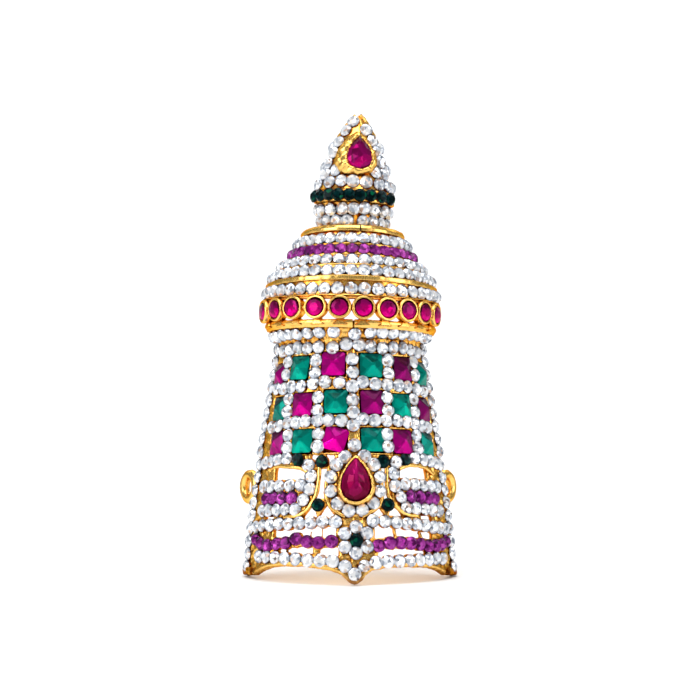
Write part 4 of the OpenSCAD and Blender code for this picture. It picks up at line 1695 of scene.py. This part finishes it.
@dataclass
class Gallery:
    """The ring of ruby stones under the dome: two rails, ten collets, their feet and beads, two posts."""

    bench: Bench
    ruby: float = 3.8
    ruby_height: float = 2.0
    ruby_seed: int = 60
    solder_seed: int = 7
    # Radius of the collets' faces and height of their middles
    face_r: float = 19.6
    height: float = 55.15
    # Angle of the lower rail's joint, half its gap and half the plate behind it
    split: float = 2.0
    split_gap: float = 0.25
    joint: float = 2.5
    # How far the upper rail lies above the collets' middles
    rail_rise: float = 2.2
    collet_skin: Skin = Skin(0.14, 0.05, 0.8)
    # Rows of feet. Columns: name, height past the collets' middles, which way up
    feet: Table = (("lower_feet", -2.75, 1), ("upper_feet", 2.65, -1))
    # How far the feet and the beads between the collets lie behind the collets' faces
    foot_depth: float = 2.35
    nub_depth: float = 0.75
    # How far each kind strays from its seats by chance
    collet_stray: float = 0.05
    foot_stray: float = 0.06
    nub_stray: float = 0.2
    # A post: its sides in from the rear edge, its ends past the neck and the upper rail, its radii
    post_sides: Pair = (0.8, 4.4)
    post_ends: Pair = (5.0, 0.4)
    post_radii: Pair = (1.9, 2.8)

    # The lower rail and the plate behind its joint. Columns: height, radius, both past the neck's
    low_rail: Rows = ((3.8, 1.2), (3.7, 2.5), (4.4, 2.85), (4.7, 3.1), (5.4, 3.0), (5.45, 1.3))
    joint_plate: Rows = ((3.9, 1.0), (3.9, 2.1), (5.25, 2.1), (5.25, 1.0))
    # The upper rail. Columns: height past its own, radius past the neck's
    high_rail: Rows = ((-0.35, 1.9), (-0.35, 3.6), (-0.1, 3.8), (0.08, 3.5), (0.2, 3.5), (0.36, 3.8),
                       (0.6, 3.6), (0.6, 1.9))
    # A collet. Columns: out from a circle of 1 mm, up from the seat
    collet: Rows = ((-0.95, -0.7), (1.2, -0.7), (1.5, 1.0), (1.48, 1.45), (1.3, 1.72), (1.02, 1.7),
                    (0.88, 1.45), (0.9, 0.1), (-0.95, 0.0))
    # Corners of a foot across and up, and its layers. Columns: height, share of the size
    foot_corners: Rows = ((-1.5, -0.75), (1.5, -0.75), (0.95, -0.3), (0.7, 0.75), (-0.7, 0.75), (-0.95, -0.3))
    foot_layers: Rows = ((-0.4, 0.96), (0.95, 1.0), (1.2, 0.75))
    # Beads of solder between the collets and on their backs. Columns: radius, height
    nub: Rows = ((0.5, -1.0), (0.62, -0.2), (0.5, 0.3), (0.22, 0.52))
    back_bead: Rows = ((0.3, -0.88), (0.52, -0.78), (0.55, -0.4), (0.3, -0.2))

    def build(self) -> None:
        """Builds the rails, the collets and what joins them, and sets the stones."""
        bench = self.bench
        self.rails()
        names = [n for n in bench.nodes if n.startswith("ruby_")]
        rubies = Seats.joined([seats_of_node(bench.axes, bench.nodes[n]) for n in names])
        stone = round_cut("ruby", self.ruby, self.ruby_height, RUBY).make()
        for seed, name in enumerate(names, self.ruby_seed):
            bench.main_stone(name, stone, Slot.RUBY, seed)
        collet = bench.small_ring("collet", 1.0, 36, self.collet, self.collet_skin)
        self.spread("collets", collet, rubies, self.collet_stray)
        bead = self.shape("collet_bead", [round_ring(10, *row) for row in self.back_bead])
        self.spread("collet_beads", bead, rubies, self.collet_stray)
        angles = bench.axes.spots(rubies.place, Part.DOME)[:, 0]
        corners = np.array(self.foot_corners)
        layers = [np.column_stack([corners * share, np.full(6, up)]) for up, share in self.foot_layers]
        foot = self.shape("foot", layers, smooth=False)
        for name, rise, way_up in self.feet:
            seats = self.ring_of_seats(angles, rise, self.foot_depth)
            seats.up = seats.up * way_up
            self.spread(name, foot, seats, self.foot_stray)
        between = self.ring_of_seats((angles[:-1] + angles[1:]) / 2, 0.0, self.nub_depth)
        nub = self.shape("nub", [round_ring(10, *row) for row in self.nub])
        self.spread("nubs", nub, between, self.nub_stray)
        self.posts()

    def rails(self) -> None:
        """Turns the lower rail with its joint, and the upper rail with its groove."""
        bench, neck = self.bench, (self.bench.axes.neck_z, self.bench.axes.neck_r)
        low, plate = np.array(self.low_rail) + neck, np.array(self.joint_plate) + neck
        bench.split_ring("lower_rail", low, Skin(0.16, 0.09, 1.4), Part.DOME, self.split, self.split_gap)
        bench.revolved("rail_joint", plate, Skin(0.15), Part.DOME, self.split - self.joint,
                       self.split + self.joint)
        high = np.array(self.high_rail) + (self.height + self.rail_rise, neck[1])
        bench.revolved("upper_rail", high, Skin(0.08, 0.05, 1.2), Part.DOME)

    def posts(self) -> None:
        """Stands a post between the rails at each rear end."""
        axes = self.bench.axes
        low, high = axes.neck_z + self.post_ends[0], self.height + self.rail_rise + self.post_ends[1]
        inner, outer = (axes.neck_r + past for past in self.post_radii)
        section = np.array([(low, inner), (low, outer), (high, outer), (high, inner)])
        for side in Side:
            first, last = sorted(side.value * (axes.edge_angle - inset) for inset in self.post_sides)
            self.bench.revolved(f"rear_post_{side.word}", section, Skin(0.2), Part.DOME, first, last)

    def ring_of_seats(self, angles: Array, rise: float, depth: float) -> Seats:
        """Upright seats in a ring, so far above the collets' middles and so deep behind their faces."""
        spots = np.stack([angles, np.full(len(angles), self.height + rise)], 1)
        return seats_at(self.bench.axes, spots, self.face_r - depth, 0.0, Part.DOME)

    def spread(self, name: str, shape: Object, seats: Seats, stray: float) -> None:
        """Sets a gold shape on each seat, strayed from it by chance, and hands all over as one piece."""
        chance = Chance(self.solder_seed, tilt=stray, spin=stray)
        self.bench.hand_over(self.bench.set_stones(name, seats, shape, self.bench.gold, chance), Slot.GOLD)

    def shape(self, name: str, rings: list[Array], smooth: bool = True) -> Object:
        """A small shape of gold between some rings of points, kept out of the scene."""
        points, faces = linked_rings(rings)
        return bpy.data.objects.new(name, mesh_from(name, points * MM, faces, smooth))


@dataclass
class Dome:
    """The stepped dome with its rows of small stones and the hammered rim on top."""

    bench: Bench
    # Half the height of the face that a row of stones sits on, and how thick the wall is behind it
    seat_half: float = 1.25
    wall: float = 1.485
    # How far below the stones the bends inside lie, the width of the cap's hem, and how far a ledge's
    # top and the foot of the face over it stand above the face's end
    bend_drop: float = 0.5
    cap_hem: float = 0.9
    ledge_tops: Pair = (0.05, 0.2)
    rim_r: float = 10.7
    # Angle of the rim's split, and half its gap
    split: float = 8.5
    split_gap: float = 0.35

    # Steps from the gallery up. Columns: height, radius, lean, ledge's width, ledge's depth
    steps: Rows = (
        (59.1, 18.15, 8, 0.0, 0.0), (62.9, 17.1, 24, 0.7, 0.95), (65.5, 15.1, 36, 0.5, 0.5),
        (68.0, 13.3, 38, 0.15, 0.5), (70.6, 11.7, 30, 0.3, 0.5))
    # Angles of the last stones of each step, behind those that the frame counts
    ends: Rows = ((-78, -69.5, 69.5, 78), (-77, -68.5, 68.5, 77), (-79.5, -70, 70, 79.5), (-71, 71),
                  (-79, -68.5, 68.5, 79))
    # Fields of small stones. Columns: name, slot, seed
    fields: Table = (("dome_clears", Slot.CLEAR, 13), ("dome_purples", Slot.PURPLE, 14))
    # The step of purple stones, and the seeds of its last stones and of the others'
    purple_step: int = 3
    purple_seed: int = 15
    clear_seed: int = 16
    # The skirt's foot, the ledge over its stones and the top of the cap. Columns: height, radius
    skirt_foot: Rows = ((57.3, 17.0), (57.3, 18.5), (57.8, 18.5))
    skirt_top: Rows = ((61.1, 18.0), (61.9, 17.4), (62.0, 15.8))
    cap_top: Rows = ((72.4, 10.7), (72.5, 9.6))
    # Section of the rim. Columns: height past its top, radius past its own
    rim_outside: Rows = ((-1.6, -1.2), (-1.75, 0.0), (-1.4, 0.42), (-0.8, 0.45), (-0.2, 0.05), (0.05, -0.7),
                         (0.0, -4.6), (-0.9, -4.7), (-0.9, -1.3))

    def step(self, z: float, r: float, lean: float, ledge: float, depth: float) -> list:
        """Draws the outside of one step, from its row of sizes.

        Args:
            z: Height of its stones.
            r: Radius of the metal there.
            lean: How far it leans back, in degrees.
            ledge: How far the ledge below it stands out.
            depth: How deep that ledge is.

        Returns:
            Heights and radii, upwards.
        """
        c, s = (share * self.seat_half for share in cos_sin(lean))
        top, foot = self.ledge_tops
        under = [(z - c - depth, r + s + ledge), (z - c + top, r + s + ledge)] if ledge else []
        return under + [(z - c + foot, r + s), (z + c, r - s)]

    def inside(self, z: float, r: float, lean: float, *_: float) -> tuple[float, float]:
        """Height and radius of the bend inside one step."""
        return z - self.bend_drop, r - self.wall / cos_sin(lean)[0]

    def build(self) -> None:
        """Builds the shell, its rim and its rows of stones."""
        bench, rim_z, (skirt, *cap) = self.bench, self.bench.axes.rim_z, self.steps
        rows = [*self.skirt_foot, *self.step(*skirt), *self.skirt_top, self.inside(*skirt)]
        bench.revolved("dome_skirt", np.array(rows), Skin(0.12, 0.1, 1.6), Part.DOME)
        outer = [row for step in cap for row in self.step(*step)]
        rows = [(outer[0][0], cap[0][1] - self.cap_hem), *outer, *self.cap_top]
        rows += [self.inside(*step) for step in reversed(cap)]
        bench.revolved("dome_cap", np.array(rows), Skin(0.12, 0.15, 1.5), Part.CAP)
        rim = np.array(self.rim_outside) + (rim_z, self.rim_r)
        bench.split_ring("dome_rim", rim, Skin(0.25, 0.16, 2.2), Part.CAP, self.split, self.split_gap)
        for name, slot, seed in self.fields:
            bench.cupped_stones(name, seats_of_node(bench.axes, bench.nodes[name]), slot, seed, name)
        ends = []
        for (z, r, lean, *_), angles in zip(self.steps, self.ends):
            spots = np.array([(angle, z) for angle in angles], float)
            stage = Part.CAP if ends else Part.DOME
            ends.append(seats_at(bench.axes, spots, r, lean, stage).moved_out(STAND_OFF))
        bench.cupped_stones("dome_end_purples", ends.pop(self.purple_step), Slot.PURPLE, self.purple_seed)
        bench.cupped_stones("dome_end_clears", Seats.joined(ends), Slot.CLEAR, self.clear_seed)


@dataclass
class Finial:
    """The bud on top: its shell, a ring of dark stones, its pear stone and small stones round it."""

    bench: Bench
    pear_height: float = 2.0
    # The pear's place, its seat's radius, how far it leans back and how low it sits
    pear_seat: Pair = (6.0, 89.05)
    pear_r: float = 5.35
    pear_lean: float = 15.0
    pear_drop: float = 0.45
    pear_light: float = -0.15
    pear_lift: float = 0.22
    pear_seed: int = 5
    clear_seed: int = 53
    green_seed: int = 54
    bezel: Bezel = Bezel((5.2, 7.6), (8.9, 10.6), (-0.55, 0.0), (
        (0.02, 0.1), (0.02, 0.75), (0.0, 1.15), (0.08, 1.42), (0.38, 1.6), (0.6, 1.42), (0.82, 0.95),
        (1.0, 0.2), (1.02, -0.8), (0.98, -2.4), (0.3, -2.2), (-0.15, -1.2)),
        lumps=0.22, mouth=(0.93, 0.9, -0.2))
    flatness: float = 0.45
    bud_skin: Skin = Skin(0.15, 0.14, 1.1)
    # Metal that the bezel leaves outside the bud's hollow
    hollow_wall: float = 0.3
    tip_wire: float = 0.95
    tip_lift: float = 0.1
    tip_from: float = 91.5
    tip_skin: Skin = Skin(0.4, 0.22, 1.0, upright=False)
    # Angle of each rolled rim, and the height that it ends at
    tips: Table = ((Side.LEFT, -80.0, 98.1), (Side.RIGHT, 79.0, 98.4))

    # Small stones. Columns: angle, height
    stones: Rows = (
        (-76, 74.8), (-51, 74.7), (-28.5, 74.7), (-10.3, 74.7), (16.6, 74.7), (34.6, 74.7), (55.5, 74.7),
        (77, 74.8), (-82, 77.2), (-64, 77.1), (-39, 77.1), (-17.7, 77.2), (0, 77.2), (16.7, 77.5),
        (35, 77.3), (55.5, 77.3), (77, 77.2), (-75, 82.7), (-43, 82.7), (-22, 82.9), (-2.8, 82.9),
        (17.5, 82.9), (40.5, 82.7), (60, 82.6), (79, 82.7), (-63.5, 84.7), (-36.5, 85.4), (38.5, 85.3),
        (60, 85.2), (-82, 86.6), (82, 86.4), (-64, 87.2), (57.5, 87.9), (-59, 89.5), (51, 90),
        (-56, 91.8), (47, 92.3), (-45, 94.4), (36, 94.6), (-80, 91), (76, 91), (-26, 96.4))
    # The bud's outside upwards and its hollow downwards. Columns: height, radius
    bud: Outline = Outline((
        (72.2, 6.6), (74.5, 6.8), (77.3, 7.5), (78.5, 7.8), (78.8, 8.6), (81.2, 8.6), (81.4, 8.1),
        (82.6, 7.7), (85.2, 6.7), (87.8, 6.0), (90.4, 5.15), (93, 3.9), (95.5, 2.45), (97.4, 1.15),
        (98.2, 0.3)))
    hollow: Rows = (
        (95.2, 0.3), (93, 2.3), (90.4, 3.8), (87.8, 4.9), (85.2, 5.7), (82.6, 6.6), (80, 7.2), (77.3, 6.5),
        (74.5, 5.8), (72.2, 5.6))

    def build(self) -> None:
        """Builds the bud, sets its stones and joins the bezel to it."""
        bench, stones = self.bench, np.array(self.stones, float)
        shell = np.array(self.bud.rows + self.hollow)
        bench.revolved("bud_shell", shell, self.bud_skin, Part.FINIAL, steps=90)
        seats = seats_on(bench.axes, self.bud, stones, Part.FINIAL).moved_out(STAND_OFF)
        bench.cupped_stones("finial_clears", seats, Slot.CLEAR, self.clear_seed, flatness=self.flatness)
        seats = seats_of_node(bench.axes, bench.nodes["bud_greens"])
        bench.cupped_stones("bud_greens", seats, Slot.DARK_GREEN, self.green_seed, "bud_greens",
                            flatness=self.flatness)
        seat = seats_at(bench.axes, np.array([self.pear_seat]), self.pear_r, self.pear_lean, Part.FINIAL)
        mesh = self.bezel.mesh("finial_bezel", seat)
        self.keep_out_of_hollow(mesh)
        bench.gold_piece("finial_bezel", mesh)
        stone = pear_cut(*self.bezel.pear, self.pear_height).make()
        bench.main_stone("finial_pear_stone", stone, Slot.RUBY, self.pear_seed, light=self.pear_light,
                         lift=self.pear_lift, drop=self.pear_drop)
        self.tip_rims()

    def keep_out_of_hollow(self, mesh: Mesh) -> None:
        """Draws the points that would show inside the bud back into its wall.

        Args:
            mesh: The mesh, in the frame.
        """
        points = np.array([v.co for v in mesh.vertices])
        spots = self.bench.axes.from_frame(points, Part.FINIAL)
        radius = np.hypot(spots[:, 0], spots[:, 1])
        least = Outline(self.hollow[::-1]).radius(spots[:, 2]) + self.hollow_wall
        spots[:, :2] *= np.maximum(1.0, least / radius)[:, None]
        mesh.vertices.foreach_set("co", self.bench.axes.to_frame(spots, Part.FINIAL).ravel())
        mesh.update()

    def tip_rims(self) -> None:
        """Rolls the two rear edges of the bud into lumpy rims that end at the tip."""
        for side, angle, top in self.tips:
            height = np.linspace(self.tip_from, top, 16)
            path = around(angle, self.bud.radius(height) + self.tip_lift, height)
            self.bench.swept(f"tip_rim_{side.word}", path, bar_outline(self.tip_wire, self.tip_wire),
                             self.tip_skin, Part.FINIAL)


@dataclass
class Studio:
    """A white paper sweep, soft lights, a dim room and the camera, in metres."""

    camera_place: Triple = (0.0, -0.5942, 0.0644)
    camera_aim: Triple = (0.0, 0.00556, 0.04703)
    lens: float = 145.6
    room_colour: str = "#E7EAED"
    room_strength: float = 0.35
    # The sweep: half its width, where it bends up, the bend's radius, the wall's depth and top
    half_width: float = 2.5
    bend: float = 1.4
    bend_r: float = 0.5
    wall: Pair = (1.9, 2.6)

    # Soft lights. Columns: name, place, what it is aimed at, size, power
    lights: Table = (
        ("top_softbox", (0.0, -0.12, 0.62), (0, 0, 0.05), 0.5, 2.7),
        ("left_softbox", (-0.55, -0.42, 0.3), (0, 0, 0.05), 0.4, 2.4),
        ("right_softbox", (0.6, -0.3, 0.22), (0, 0, 0.05), 0.35, 1.3),
        ("left_wall_lamp", (-0.9, 0.9, 0.9), (-0.2, 1.9, 0.3), 0.6, 7.5),
        ("right_wall_lamp", (0.9, 0.9, 0.9), (0.2, 1.9, 0.3), 0.6, 7.5),
        ("floor_lamp", (0.0, 0.75, 0.9), (0.0, 0.9, 0.0), 0.6, 5.0))

    def build(self) -> None:
        """Puts up the sweep, the lights, the room and the camera."""
        scene = bpy.context.scene
        place_piece("paper_sweep", self.sweep_mesh(), WhitePaper().make())
        for name, place, goal, size, power in self.lights:
            light = bpy.data.lights.new(name, "AREA")
            light.size = size
            light.energy = power
            self.stand(name, light, place, goal)
        scene.world = bpy.data.worlds.new("room")
        scene.world.use_nodes = True
        room = scene.world.node_tree.nodes["Background"].inputs
        room["Color"].default_value = linear(self.room_colour)
        room["Strength"].default_value = self.room_strength
        camera = bpy.data.cameras.new("camera")
        camera.lens = self.lens
        scene.camera = self.stand("camera", camera, self.camera_place, self.camera_aim)
        scene.view_settings.view_transform = "Standard"

    def stand(self, name: str, data: Light | Camera, place: Triple, goal: Triple) -> Object:
        """Stands a light or the camera in its place and aims it.

        Args:
            name: Its name.
            data: The light or camera.
            place: Where it stands.
            goal: What it is aimed at.

        Returns:
            Its object, in the scene.
        """
        item = bpy.data.objects.new(name, data)
        item.location = place
        item.rotation_euler = (Vector(goal) - Vector(place)).to_track_quat("-Z", "Y").to_euler()
        bpy.context.scene.collection.objects.link(item)
        return item

    def sweep_mesh(self) -> Mesh:
        """Builds a floor that curves up behind into a wall.

        Returns:
            Its mesh.
        """
        r = self.bend_r
        turn = np.radians(np.linspace(-90, 0, 13))
        line = [(-self.half_width, 0.0)] + [(self.bend + r * math.cos(t), r + r * math.sin(t)) for t in turn]
        line.append(self.wall)
        points = [(x, y, z) for y, z in line for x in (-self.half_width, self.half_width)]
        faces = [[2 * i, 2 * i + 1, 2 * i + 3, 2 * i + 2] for i in range(len(line) - 1)]
        return mesh_from("paper_sweep", np.array(points), faces)


def main() -> None:
    """Builds the crown round its frame, and the studio that it stands in."""
    logging.basicConfig(level=logging.INFO, format="%(message)s")
    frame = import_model()
    finishes = {Slot.GOLD: CastGold().make()}
    for slot, glass in GLASSES.items():
        finishes[slot] = glass.make()
    bench = Bench(CrownAxes(), frame["nodes"], finishes)
    for part in (BasePanel, Checker, Gallery, Dome, Finial):
        part(bench).build()
    Studio().build()


if __name__ == "__main__":
    main()
